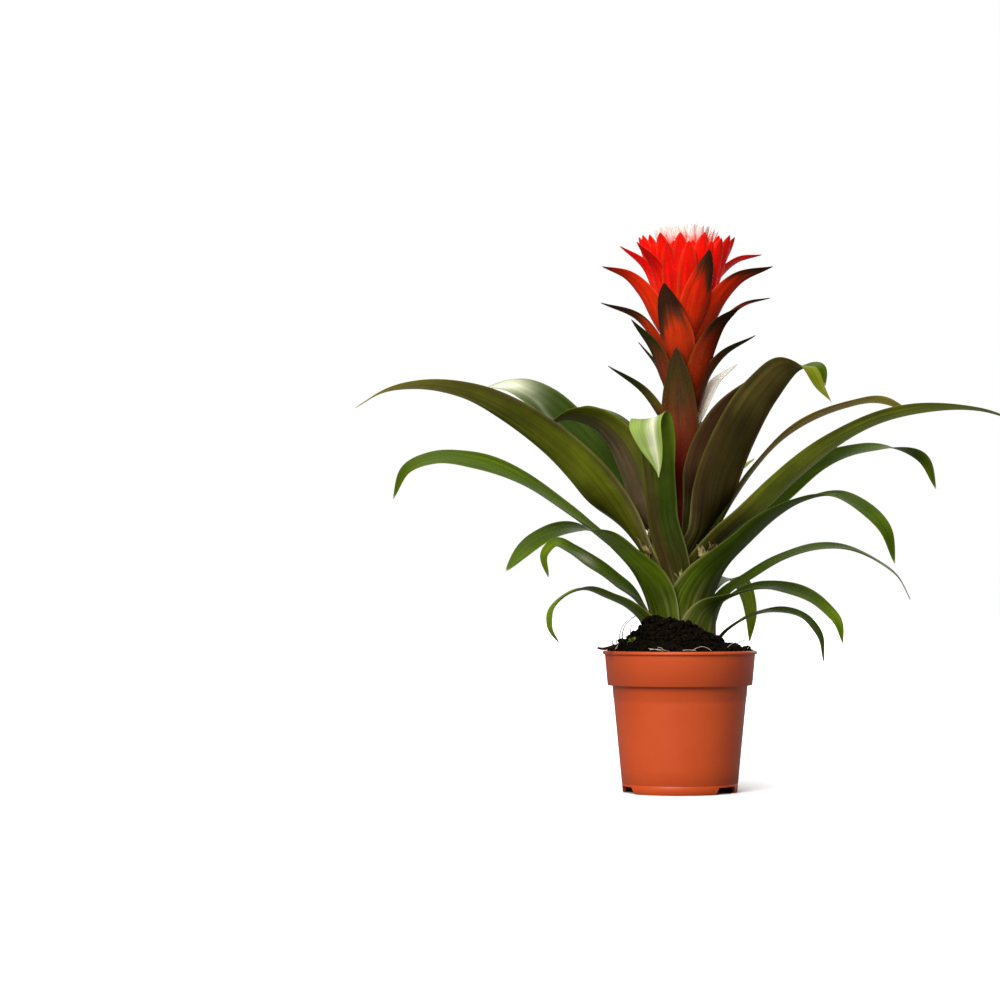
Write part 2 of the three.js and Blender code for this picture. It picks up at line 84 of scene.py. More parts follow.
LEAST_WIDTH = 0.5
LEAF_BEND = 1.1
LEAF_THICK = 0.75
BRACT_THICK = 0.7
INNER_THICK = 0.6

# The solid that a leaf replaces has a sheath of four flats, and starts where their inner face meets the cone
SHEATH_FLATS = 4
INNER_FACE = 0.4

# Shares of a leaf's length: where the sheath ends, where the blade has its own width, heading, middle line and bend,
# where it has the first and the second value of its roll, where the waist ends, and where the tip starts to drift
SHEATH_END = 0.08
OWN_WIDTH = 0.25
OWN_HEADING = 0.35
OWN_MIDDLE = 0.3
OWN_BEND = 0.4
ROLL_STOPS = (0.3, 0.7)
WAIST_FROM = 0.45
WAIST_LENGTH = 0.3
DRIFT_FROM = 0.72


def smooth(x):
    """0 up to 0, 1 from 1 on, and a smooth way between."""
    x = min(max(x, 0.0), 1.0)
    return x * x * (3 - 2 * x)


def rise(x, start, length):
    """0 up to start, 1 from start + length on, and a smooth way between."""
    return smooth((x - start) / length)


def lerp(a, b, t):
    return a + (b - a) * t


def wander(x, y, z):
    """A smooth irregular value from about -1 to 1."""
    return noise.noise(Vector((x, y, z)))


def polar(r, angle, z):
    return Vector((r * math.cos(angle), r * math.sin(angle), z))


def colour(r, g, b):
    """A linear colour from the 0 to 255 values a screen shows."""
    return Vector([((c / 255 + 0.055) / 1.055) ** 2.4 if c > 10 else c / 255 / 12.92 for c in (r, g, b)])


DEEP = colour(40, 54, 8)
DARK_GREEN = colour(38, 44, 12)
GREEN = colour(64, 82, 8)
BRIGHT = colour(96, 118, 14)
# A light green painted on leaf_back_right_low and on the tip of the front leaf's underside, standing in for light these
# shaded faces don't get
LIME = colour(140, 168, 40)
VIVID_OLIVE = colour(94, 100, 18)
SUNNY_OLIVE = colour(184, 174, 66)
SUNNY_GREEN = colour(124, 134, 32)
WARM_OLIVE = colour(158, 132, 54)
OLIVE = colour(92, 98, 14)
OLIVE_GREEN = colour(56, 43, 15)
OLIVE_BROWN = colour(84, 76, 22)
TAN = colour(106, 94, 42)
PLUM = colour(70, 46, 26)
DARK_PLUM = colour(46, 30, 15)
PLUM_GREY = colour(88, 74, 50)
DUSK = colour(47, 40, 13)
PALE = colour(128, 136, 56)
# The front leaf's upper face at the tip: green paled with painted sheen
FLAP = colour(132, 150, 78)
# The colour of the painted highlights on leaves
GLEAM = colour(230, 228, 200)
BROWN = colour(66, 50, 24)
FOOT_GREEN = colour(92, 106, 24)
STRAW = colour(190, 176, 126)
MAROON = colour(92, 22, 12)
BLACKISH = colour(44, 26, 14)
RED = colour(246, 16, 5)
ORANGE = colour(208, 58, 6)
RUST = colour(134, 36, 8)
RUST_BROWN = colour(100, 44, 20)
DARK_RED = colour(86, 16, 8)
RIM_ORANGE = colour(236, 96, 50)
PINK = colour(248, 140, 122)
# Greyish pink painted as shade along the edges of the florets' white ends, where they meet
SHADE_PINK = colour(232, 160, 148)
WHITE = colour(252, 240, 234)
# Silver: the fine specks on bract skins, and a painted highlight inside one stem bract
SILVER = colour(246, 247, 226)


class Row:
    """A row of a table: its first values in the order of its columns, the others by name."""

    def __init__(self, *values, **named):
        for column, value in (*zip(self.columns, values), *named.items()):
            setattr(self, column, value)


class Leaf(Row):
    """Name, headings of sheath and blade, height where it leaves the crown, width, half the angle of the sheath, middle
    line as (reach, height), and the colours of its underside at the foot, in the middle and at the tip. A heading of 0
    is right, 90 back, 180 left and 270 front."""
    columns = ("name", "sheath", "heading", "leaves", "width", "arc", "rib", "under")
    # In degrees, at both of the ROLL_STOPS and at the tip
    roll = (0, 0, 0)
    # The share of the width just above the sheath
    waist = 1
    # A higher taper keeps a leaf wide for longer, a higher point makes its end more slender
    taper = 3
    point = 0.8
    # How far the tip's heading turns on
    drift = 0
    # The upper face, and where the tip's colour sets in
    upper = (DEEP, DEEP, GREEN)
    turns = 0.55
    # How brown and fibrous the foot is
    worn = 0.35
    # A colour on one side of the underside's midrib as far as the share given, and one along both of its edges. Both
    # are partly the leaf's own flush and partly painted light and shade across the folded underside
    band = None
    edges = None
    # Pale painted highlights on the upper face, standing in for its gloss: the middle of each along the leaf and
    # across, its length, width and strength
    gleams = ()


class Bract(Row):
    """Heading, foot, width and midrib."""
    columns = ("heading", "foot", "width", "rib")
    roll = 0
    shape = "lance"
    # How far the tip leans sideways
    skew = 0
    # A stem bract's colours: outside at the foot, in the middle and at the tip, and inside
    look = ()
    # The share of its length at which a red bract's dark tip starts
    dark = 0.8


# Outermost first
LEAVES = [
    Leaf("leaf_right_low", 300, 333, 119, 26, 35,
         [(36, 145), (54, 157), (77, 161), (100, 157), (121, 147), (135, 133), (139, 117)], (DEEP, GREEN, GREEN),
         roll=(15, 20, 20), upper=(DEEP, DEEP, BRIGHT), worn=0.7),
    Leaf("leaf_right_lowest", 0, 352, 113, 17, 25, [(51, 136), (80, 142), (98, 137), (109, 124), (113, 102)],
         (DEEP, OLIVE, OLIVE), roll=(5, 24, 24), upper=(GREEN, GREEN, GREEN)),
    Leaf("leaf_left_lowest", 210, 195, 124, 22, 30,
         [(42, 145), (60, 154), (76, 159), (92, 154), (103, 142), (104, 128), (97, 117)], (GREEN, BRIGHT, PALE),
         roll=(10, 0, -20), upper=(GREEN, BRIGHT, BRIGHT)),
    Leaf("leaf_right_mid", 30, 14, 124, 24, 25,
         [(38, 154), (58, 169), (84, 184), (112, 192), (139, 191), (163, 181), (180, 168), (190, 150)],
         (OLIVE, GREEN, OLIVE), roll=(8, 16, 16), upper=(GREEN, GREEN, GREEN)),
    Leaf("leaf_left_low", 240, 225, 130, 37, 30,
         [(38, 166), (60, 187), (90, 203), (122, 204), (148, 196), (166, 185), (182, 171)], (GREEN, BRIGHT, GREEN),
         roll=(-5, -15, -25), upper=(GREEN, DEEP, GREEN)),
    Leaf("leaf_left_folded", 180, 175, 132, 26, 30,
         [(34, 150), (50, 165), (68, 178), (86, 190), (98, 195), (107, 187), (104, 168)], (OLIVE, GREEN, BRIGHT),
         roll=(-20, -25, -50), upper=(GREEN, GREEN, BRIGHT), gleams=[(0.55, 0.0, 0.06, 0.5, 0.3)]),
    Leaf("leaf_right_front", 300, 325, 136, 35, 60,
         [(35, 168), (57, 193), (86, 215), (115, 227), (143, 230), (169, 219), (187, 202), (195, 177)],
         (GREEN, GREEN, OLIVE), roll=(0, 10, 20), worn=0.5),
    # Painted light: this leaf lies in shade and is painted a lighter green towards its tip
    Leaf("leaf_back_right_low", 60, 60, 138, 22, 30,
         [(44, 158), (66, 166), (86, 168), (101, 163), (111, 151), (116, 136), (114, 116)], (FOOT_GREEN, LIME, LIME),
         upper=(DEEP, GREEN, LIME)),
    Leaf("leaf_back_low", 90, 95, 142, 28, 60, [(52, 174), (82, 188), (114, 186), (140, 168), (156, 143)],
         (OLIVE, OLIVE, GREEN), upper=(DEEP, GREEN, BRIGHT)),
    Leaf("leaf_left_mid", 180, 188, 146, 32, 60,
         [(35, 176), (58, 197), (85, 218), (122, 243), (161, 258), (193, 260), (214, 251), (224, 228)],
         (OLIVE, OLIVE, GREEN), roll=(-12, -38, -48), upper=(GREEN, GREEN, GREEN)),
    # Its upper face's tip is paled with painted sheen
    Leaf("leaf_front", 270, 243, 150, 38, 30,
         [(26, 180), (31, 215), (37, 250), (43, 278), (51, 291), (60, 285), (65, 266), (67, 243)], (DUSK, DEEP, LIME),
         roll=(0, 8, 12), waist=0.72, taper=7, point=1.3, drift=13, upper=(GREEN, BRIGHT, FLAP), turns=0.3,
         band=(BROWN, -1, 0.6), gleams=[(0.8, 0.2, 0.2, 0.28, 0.7)]),
    Leaf("leaf_left_long", 180, 205, 156, 36, 60,
         [(38, 202), (68, 236), (105, 270), (141, 293), (178, 308), (217, 312), (245, 306), (267, 293)],
         (OLIVE_BROWN, VIVID_OLIVE, SUNNY_OLIVE), roll=(42, 24, 10), edges=(PLUM_GREY, 0.6)),
    Leaf("leaf_right_back", 30, 20, 158, 31, 45,
         [(32, 182), (54, 208), (83, 233), (116, 258), (152, 271), (184, 273), (210, 264), (221, 240)],
         (OLIVE, OLIVE, GREEN), roll=(32, 20, -50)),
    Leaf("leaf_back_mid", 120, 100, 162, 32, 45,
         [(30, 195), (52, 228), (86, 252), (124, 262), (160, 250), (184, 222)], (OLIVE, PLUM, OLIVE)),
    Leaf("leaf_right_long", 330, 352, 164, 34, 60,
         [(32, 194), (57, 218), (88, 248), (120, 273), (157, 291), (197, 299), (235, 297), (271, 285)],
         (PLUM, SUNNY_GREEN, SUNNY_GREEN), roll=(-25, -15, -5), edges=(OLIVE_BROWN, 0.7)),
    # Its underside is painted a lighter olive, standing in for light that this downward face doesn't get
    Leaf("leaf_right_slim", 30, 28, 170, 30, 60,
         [(25, 195), (40, 220), (62, 250), (90, 278), (122, 297), (154, 308), (187, 313), (217, 303)],
         (TAN, WARM_OLIVE, SUNNY_OLIVE), roll=(-25, -22, -20), upper=(DEEP, BRIGHT, BRIGHT)),
    Leaf("leaf_left_back", 150, 150, 174, 38, 60,
         [(22, 202), (36, 225), (68, 257), (100, 289), (130, 313), (158, 325), (180, 324), (196, 316)],
         (PLUM, PLUM, OLIVE), roll=(-32, -32, -20), taper=5,
         gleams=[(0.88, 0.0, 0.09, 0.9, 0.85), (0.45, 0.45, 0.25, 0.12, 0.35)]),
    Leaf("leaf_left_dark", 210, 192, 178, 38, 60,
         [(19, 202), (26, 225), (36, 255), (50, 278), (66, 291), (86, 294), (110, 283)], (PLUM, PLUM_GREY, OLIVE),
         roll=(50, 35, 20), upper=(DEEP, DEEP, STRAW), band=(OLIVE, 1, 0.9)),
    Leaf("leaf_right_dark", 330, 318, 180, 36, 75,
         [(23, 205), (37, 240), (57, 277), (84, 310), (112, 328), (131, 325), (142, 310), (153, 298)],
         (DARK_PLUM, DUSK, TAN), roll=(-45, -45, 60), taper=4, point=1.2, upper=(DEEP, OLIVE, OLIVE), turns=0.42,
         edges=(BROWN, 0.5)),
    Leaf("leaf_left_young", 180, 165, 190, 22, 50, [(18, 225), (24, 256), (36, 282), (54, 297), (74, 303), (92, 300)],
         (PLUM, PLUM, OLIVE)),
    Leaf("leaf_back_high", 90, 85, 194, 32, 50, [(16, 215), (28, 250), (52, 278), (86, 294), (122, 292), (150, 272)],
         (PLUM, DUSK, OLIVE)),
    Leaf("leaf_right_dark_behind", 330, 335, 200, 34, 50,
         [(17, 241), (26, 270), (41, 293), (61, 310), (83, 322), (105, 330), (119, 328), (123, 314)],
         (DARK_PLUM, PLUM, GREEN), roll=(-40, -30, 60)),
    Leaf("leaf_back_young", 60, 47, 204, 16, 35, [(26, 226), (45, 240), (64, 252), (88, 264)], (PLUM, OLIVE, PALE),
         upper=(DEEP, GREEN, PALE)),
]

# Bracts that clasp the stalk, then the outer red ones, lowest first
STEM_BRACTS = [
    Bract(190, 262, 16, [(14, 286), (30, 312), (60, 333)], roll=25, look=(MAROON, OLIVE_BROWN, DARK_GREEN, DEEP)),
    Bract(160, 266, 18, [(14, 288), (22, 305), (40, 320)], roll=20, look=(DARK_GREEN, DEEP, DEEP, GREEN)),
    # Its inside is painted silver-white: a painted highlight
    Bract(30, 268, 18, [(13, 288), (20, 306), (30, 323), (49, 337)], roll=25,
          look=(MAROON, BROWN, DARK_GREEN, SILVER)),
    Bract(254, 224, 38, [(12, 262), (15, 300), (18, 326), (21, 347)], shape="broad",
          look=(DARK_RED, RUST_BROWN, OLIVE_GREEN, MAROON)),
    Bract(100, 240, 26, [(11, 270), (14, 305), (24, 340)], look=(MAROON, RUST_BROWN, DEEP, MAROON)),
    Bract(175, 280, 16, [(13, 312), (22, 335), (36, 353)], roll=20,
          look=(MAROON, DARK_GREEN, DARK_GREEN, DARK_GREEN)),
    Bract(350, 272, 18, [(13, 302), (19, 325), (31, 342), (57, 357)], roll=-25,
          look=(DARK_RED, RUST_BROWN, BROWN, MAROON)),
    Bract(200, 290, 22, [(15, 322), (24, 346), (44, 369)], roll=25, look=(RUST, RUST_BROWN, DARK_GREEN, DARK_GREEN)),
    Bract(320, 288, 26, [(15, 322), (23, 346), (35, 364), (57, 377)], roll=-25,
          look=(RUST, RUST, BLACKISH, BLACKISH)),
]
OUTER_RED = [
    Bract(185, 320, 16, [(20, 350), (36, 371), (66, 383)], roll=30, dark=0.5),
    Bract(5, 324, 14, [(20, 354), (34, 372), (48, 383), (68, 388)], roll=-25, dark=0.7),
    Bract(249, 318, 34, [(17, 345), (24, 370), (34, 396)], shape="broad", skew=-4, dark=0.5),
    Bract(90, 322, 28, [(18, 350), (28, 378), (50, 400)]),
    Bract(195, 334, 26, [(20, 364), (32, 390), (45, 403), (67, 410)], roll=30, dark=0.85),
    Bract(345, 334, 28, [(20, 364), (29, 386), (43, 401), (71, 410)], roll=-30, dark=0.66),
    Bract(165, 345, 20, [(20, 376), (34, 400), (56, 411)], roll=20),
    Bract(45, 340, 24, [(20, 368), (34, 396), (60, 412)], roll=-15),
    Bract(291, 338, 30, [(19, 368), (27, 396), (37, 422)], shape="broad", skew=6, dark=0.66),
    Bract(125, 342, 24, [(20, 370), (32, 398), (56, 414)], roll=15),
    Bract(12, 352, 24, [(20, 386), (30, 407), (42, 418), (62, 423)], roll=-25, dark=0.9),
    Bract(190, 356, 22, [(20, 386), (32, 412), (52, 427)], roll=25, dark=0.93),
    Bract(218, 356, 24, [(19, 386), (29, 410), (48, 428)], roll=12, dark=0.95),
]


def midrib(knots):
    """A smooth line through the knots, which starts straight up: a function from 0 to 1 that gives (reach, height)."""
    points = [Vector(knot) for knot in knots]
    spans = [(b - a).length for a, b in zip(points, points[1:])]
    ways = [(b - a) / span for a, b, span in zip(points, points[1:], spans)]
    slopes = [Vector((0, 1))]
    for i in range(1, len(ways)):
        slopes.append(ways[i - 1].lerp(ways[i], spans[i - 1] / (spans[i - 1] + spans[i])))
    slopes.append(ways[-1])
    length = sum(spans)

    def place(s):
        i, along = 0, s * length
        while i < len(spans) - 1 and along > spans[i]:
            along -= spans[i]
            i += 1
        t = along / spans[i]
        a = 2 * t ** 3 - 3 * t ** 2 + 1
        b = t ** 3 - 2 * t ** 2 + t
        c = t ** 3 - t ** 2
        return points[i] * a + slopes[i] * (b * spans[i]) + points[i + 1] * (1 - a) + slopes[i + 1] * (c * spans[i])

    return place


def section_along(place, s, heading_at, shape):
    """Where a blade is at s: its middle, the way to its edge, the way up from its face, its width and its bend."""
    def spot(t):
        reach, height = place(t)
        return polar(reach, heading_at(t), height)

    step = 0.002
    way = spot(min(s + step, 1)) - spot(max(s - step, 0))
    if s == 0:
        way = Vector((0, 0, 1))
    way.normalize()
    heading = heading_at(s)
    level = Vector((-math.sin(heading), math.cos(heading), 0))
    flat = (level - way * level.dot(way)).normalized()
    width, bend, roll = shape
    side = Matrix.Rotation(roll, 3, way) @ flat
    return spot(s), side, way.cross(side), width, bend


def across_section(section, w, lift=0.0):
    """A point of the blade's middle surface, w from -1 at one edge to 1 at the other."""
    at, side, up, width, bend = section
    angle = w * width / bend / 2
    return at + side * (bend * math.sin(angle)) + up * (bend * (1 - math.cos(angle)) + lift)


def roll_along(roll, s):
    near, far, tip = roll
    first, second = ROLL_STOPS
    if s < first:
        return near * rise(s, SHEATH_END, first - SHEATH_END)
    if s < second:
        return lerp(near, far, (s - first) / (second - first))
    return lerp(far, tip, rise(s, second, 1 - second))


def leaf_section(leaf, layer, place, s):
    radius = SHEATH_OUTER_R - LAYER * layer
    arc = math.radians(leaf.arc)
    turn = (leaf.heading - leaf.sheath + 540) % 360 - 180
    strap = leaf.width * lerp(leaf.waist, 1, rise(s, WAIST_FROM, WAIST_LENGTH))
    strap *= max(0.0, 1 - s ** leaf.taper) ** leaf.point
    width = max(LEAST_WIDTH, lerp(2 * arc * radius, strap, rise(s, 0, OWN_WIDTH)))
    bend = lerp(radius, leaf.width * LEAF_BEND, rise(s, 0, OWN_BEND))
    roll = math.radians(roll_along(leaf.roll, s))

    def heading_at(t):
        drift = leaf.drift * rise(t, DRIFT_FROM, 1 - DRIFT_FROM)
        return math.radians(leaf.sheath + turn * rise(t, 0, OWN_HEADING) + drift)

    at, side, up, width, bend = section_along(place, s, heading_at, (width, bend, roll))
    depth = bend * (1 - math.cos(width / 2 / bend))
    return at - up * (depth / 2 * rise(s, 0, OWN_MIDDLE)), side, up, width, bend


def fresh(name, add, **sizes):
    """A new primitive under this name, alone in the selection."""
    bpy.ops.object.select_all(action="DESELECT")
    add(**sizes)
    bpy.context.object.name = name
    return bpy.context.object


def placed(name, data):
    """A new object of this data in the scene."""
    piece = bpy.data.objects.new(name, data)
    bpy.context.collection.objects.link(piece)
    return piece


def only(*pieces):
    """Selects these pieces alone, the first one active."""
    bpy.ops.object.select_all(action="DESELECT")
    for piece in pieces:
        piece.select_set(True)
    bpy.context.view_layer.objects.active = pieces[0]


def apply_all(piece):
    only(piece)
    for modifier in list(piece.modifiers):
        bpy.ops.object.modifier_apply(modifier=modifier.name)


def paint(piece, tints):
    """Writes the colours of both faces on each point: tints(index) gives (upper, under)."""
    mesh = piece.data
    layers = [mesh.color_attributes.new(name=name, type="FLOAT_COLOR", domain="POINT")
              for name in ("upper_tint", "under_tint")]
    for i in range(len(mesh.vertices)):
        for layer, tint in zip(layers, tints(i)):
            layer.data[i].color = (*tint, 1)


def clad(piece, tints, materials):
    """Paints a piece, and gives it the materials of its underside and its upper face."""
    paint(piece, tints)
    for material in materials:
        piece.data.materials.append(material)


EDGE_THINNING = 0.75
EDGE_FALL = 5
LEAST_WALL = 0.3


def blade(name, along, across, spot, tints, thick, materials):
    """A grid shaped by spot(row share, w) and given a thickness that thins towards its edges."""
    piece = fresh(name, bpy.ops.mesh.primitive_grid_add, x_subdivisions=across, y_subdivisions=along, size=1)
    shares = [(min(max(v.co.y + 0.5, 0), 1), 2 * v.co.x) for v in piece.data.vertices]
    body = piece.vertex_groups.new(name="body")
    for vertex, (v, w) in zip(piece.data.vertices, shares):
        vertex.co = spot(v, w) * MM
        body.add([vertex.index], 1 - EDGE_THINNING * abs(w) ** EDGE_FALL, "REPLACE")
    clad(piece, lambda i: tints(*shares[i]), materials)
    walls = piece.modifiers.new("Walls", "SOLIDIFY")
    walls.thickness = thick * MM
    walls.offset = 0
    walls.vertex_group = "body"
    walls.thickness_vertex_group = LEAST_WALL
    walls.material_offset = 1
    rounded = piece.modifiers.new("Rounded", "SUBSURF")
    rounded.levels = 1
    apply_all(piece)
    bpy.ops.object.shade_smooth()
    return piece


def joined(name, pieces):
    only(*pieces)
    bpy.ops.object.join()
    pieces[0].name = name
    return pieces[0]


def dress(piece, node):
    """Moves a piece to the pot's place, and says what it rides on and what it replaces."""
    piece.data.transform(Matrix.Translation(POT_AT))
    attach(piece, "root")
    if node:
        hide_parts(node)


# Materials: groups first. The heights of the finest and of the coarse relief are in metres.

FINE = 0.0003
COARSE = 0.001


def new_group(name, inputs, outputs):
    """A group with number sockets: the inputs with their values, and the outputs."""
    group = bpy.data.node_groups.new(name, "ShaderNodeTree")
    for socket, value in inputs.items():
        group.interface.new_socket(socket, in_out="INPUT", socket_type="NodeSocketFloat").default_value = value
    for socket in outputs:
        group.interface.new_socket(socket, in_out="OUTPUT", socket_type="NodeSocketFloat")
    return group, group.nodes.new("NodeGroupInput"), group.nodes.new("NodeGroupOutput")


def feed(tree, socket, value):
    """Sets a socket to a number or a colour, or links another node's output to it."""
    if isinstance(value, bpy.types.NodeSocket):
        tree.links.new(value, socket)
    else:
        socket.default_value = (*value, 1) if isinstance(value, Vector) else value


def maths(tree, operation, *values):
    node = tree.nodes.new("ShaderNodeMath")
    node.operation = operation
    for socket, value in zip(node.inputs, values):
        feed(tree, socket, value)
    return node.outputs[0]


def spread(tree, value, low, high, new_low=0.0, new_high=1.0):
    node = tree.nodes.new("ShaderNodeMapRange")
    for socket, number in zip(node.inputs[1:5], (low, high, new_low, new_high)):
        socket.default_value = number
    tree.links.new(value, node.inputs[0])
    return node.outputs[0]


def mixed(tree, kind, share, a, b):
    node = tree.nodes.new("ShaderNodeMix")
    node.data_type = "RGBA"
    node.blend_type = kind
    for i, value in ((0, share), (6, a), (7, b)):
        feed(tree, node.inputs[i], value)
    return node.outputs[2]


def cloud(tree, vector, scale, detail=3.0, rough=0.55):
    node = tree.nodes.new("ShaderNodeTexNoise")
    for socket, value in (("Vector", vector), ("Scale", scale), ("Detail", detail), ("Roughness", rough)):
        feed(tree, node.inputs[socket], value)
    return node.outputs[0]


def streak_group():
    """Fibres that run along a blade and draw together at its tip, from the blade's own UV map."""
    group, given, out = new_group("Fibres along a blade", {"Count": 30.0, "Stretch": 2.5}, ("Bands", "Veins"))
    uv = group.nodes.new("ShaderNodeUVMap")
    for label, share in (("Bands", 0.25), ("Veins", 1.6)):
        scale = group.nodes.new("ShaderNodeCombineXYZ")
        group.links.new(maths(group, "MULTIPLY", given.outputs["Count"], share), scale.inputs[0])
        group.links.new(given.outputs["Stretch"], scale.inputs[1])
        stretched = group.nodes.new("ShaderNodeVectorMath")
        stretched.operation = "MULTIPLY"
        group.links.new(uv.outputs[0], stretched.inputs[0])
        group.links.new(scale.outputs[0], stretched.inputs[1])
        group.links.new(cloud(group, stretched.outputs[0], 1.0, 2.0), out.inputs[label])
    return group


def mottle_group():
    """Soft patches and fine specks over a surface, from Object coordinates."""
    sizes = {"Patch size": 30.0, "Speck size": 900.0}
    group, given, out = new_group("Patches and specks", sizes, ("Patches", "Specks"))
    place = group.nodes.new("ShaderNodeTexCoord").outputs["Object"]
    for label, size in zip(("Patches", "Specks"), sizes):
        group.links.new(cloud(group, place, given.outputs[size], 3.0, 0.5), out.inputs[label])
    return group


FIBRES = streak_group()
MOTTLE = mottle_group()


def fill(node, values):
    """Sets a node's inputs to plain values."""
    for socket, value in values.items():
        node.inputs[socket.replace("_", " ")].default_value = value
    return node


def new_material(name, **plain):
    """A material with its uniform values on the shader. Gives the tree, the shader and the material."""
    material = bpy.data.materials.new(name)
    material.use_nodes = True
    return material.node_tree, fill(material.node_tree.nodes["Principled BSDF"], plain), material


def placed_group(tree, group, **values):
    node = tree.nodes.new("ShaderNodeGroup")
    node.node_tree = group
    return fill(node, values)


def skinned(tree, shader, tint, gloss, height, strength, distance):
    """Links a colour, a roughness and a fine relief to the shader."""
    tree.links.new(tint, shader.inputs["Base Color"])
    tree.links.new(gloss, shader.inputs["Roughness"])
    bump = fill(tree.nodes.new("ShaderNodeBump"), {"Strength": strength, "Distance": distance})
    tree.links.new(height, bump.inputs["Height"])
    tree.links.new(bump.outputs[0], shader.inputs["Normal"])


def blade_material(name, attribute, rough, depth, speck, count, ridge, shine, soft, soft_depth=0.001):
    """Leaf or bract skin: its painted tint, with fibres, patches and fine specks in colour, gloss and height."""
    tree, shader, material = new_material(name, Specular_IOR_Level=shine, Subsurface_Weight=soft,
                                          Subsurface_Scale=soft_depth)
    tint = tree.nodes.new("ShaderNodeAttribute")
    tint.attribute_name = attribute
    wide, fine = placed_group(tree, FIBRES, Count=count).outputs
    patches, specks = placed_group(tree, MOTTLE).outputs
    bands = spread(tree, wide, 0.3, 0.7, 1 - depth, 1 + depth)
    along = tree.nodes.new("ShaderNodeSeparateXYZ")
    tree.links.new(tree.nodes.new("ShaderNodeUVMap").outputs[0], along.inputs[0])
    strength = spread(tree, along.outputs["Y"], 0.05, 0.25, 2.2, 0.7)
    veins = maths(tree, "MULTIPLY_ADD", spread(tree, fine, 0.3, 0.7, -depth, depth), strength, 1.0)
    blotches = spread(tree, patches, 0.3, 0.7, 1 - depth, 1 + depth)
    shade = maths(tree, "MULTIPLY", maths(tree, "MULTIPLY", bands, veins), blotches)
    toned = mixed(tree, "MULTIPLY", 1.0, tint.outputs["Color"], shade)
    dusted = spread(tree, specks, 0.55, 0.75, 0.0, speck)
    skinned(tree, shader, mixed(tree, "MIX", dusted, toned, SILVER), maths(tree, "MULTIPLY", blotches, rough),
            fine, ridge, FINE)
    return material


LEAF_SKINS = (blade_material("Leaf underside", "under_tint", 0.38, 0.3, 0.0, 34, 0.14, 0.07, 0.05),
              blade_material("Leaf upper face", "upper_tint", 0.4, 0.22, 0.0, 34, 0.1, 0.03, 0.05))
BRACT_SKINS = (blade_material("Bract outside", "under_tint", 0.36, 0.22, 0.02, 22, 0.1, 0.07, 0.08),
               blade_material("Bract inside", "upper_tint", 0.32, 0.14, 0.0, 22, 0.05, 0.12, 0.08))
FLORET_SKINS = 2 * (blade_material("Floret", "under_tint", 0.5, 0.06, 0.0, 12, 0.1, 0.5, 0.25, 0.002),)


def pot_material():
    tree, shader, material = new_material("Terracotta plastic", Specular_IOR_Level=0.3)
    patches, specks = placed_group(tree, MOTTLE, Patch_size=18.0, Speck_size=1600.0).outputs
    tone = spread(tree, patches, 0.35, 0.65)
    clay = mixed(tree, "MIX", tone, colour(190, 72, 28), colour(196, 78, 32))
    place = tree.nodes.new("ShaderNodeTexCoord").outputs["Object"]
    dirt = spread(tree, cloud(tree, place, 220.0), 0.68, 0.78)
    height = tree.nodes.new("ShaderNodeSeparateXYZ")
    tree.links.new(place, height.inputs[0])
    near_rim = spread(tree, height.outputs["Z"], 0.100, LIP_TOP * MM)
    soiled = maths(tree, "MULTIPLY", dirt, near_rim)
    skinned(tree, shader, mixed(tree, "MIX", soiled, clay, colour(60, 34, 24)),
            spread(tree, patches, 0.3, 0.7, 0.42, 0.52), specks, 0.10, FINE)
    return material


def earth_material(name, dark, light, rough, grain, strength):
    tree, shader, material = new_material(name, Specular_IOR_Level=0.05)
    patches, specks = placed_group(tree, MOTTLE, Patch_size=grain, Speck_size=grain * 6).outputs
    tone = spread(tree, patches, 0.4, 0.65)
    fine = spread(tree, specks, 0.35, 0.7, 0.6, 1.2)
    tinted = mixed(tree, "MIX", maths(tree, "MULTIPLY", tone, fine), dark, light)
    gloss = spread(tree, specks, 0.3, 0.7, rough - 0.1, rough)
    skinned(tree, shader, tinted, gloss, specks, strength, COARSE)
    return material


TERRACOTTA = pot_material()
PEAT = earth_material("Peat", colour(6, 4, 2), colour(22, 16, 8), 0.95, 260.0, 0.8)
CRUMB = earth_material("Peat crumbs", colour(5, 3, 1), colour(32, 22, 12), 0.95, 420.0, 0.6)
TWIG = earth_material("Twig bark", colour(28, 18, 13), colour(64, 42, 28), 0.8, 500.0, 0.5)
ROOT = earth_material("Root threads", colour(196, 170, 140), colour(236, 222, 200), 0.6, 300.0, 0.2)
MOSS = earth_material("Moss", colour(70, 96, 24), colour(140, 164, 60), 0.85, 500.0, 0.6)
CHAFF = earth_material("Dry sheath", colour(58, 42, 20), colour(164, 152, 96), 0.6, 160.0, 0.5)


# Leaves

LEAF_ROWS = 76
LEAF_COLUMNS = 14
EDGE_WAVE = 0.5


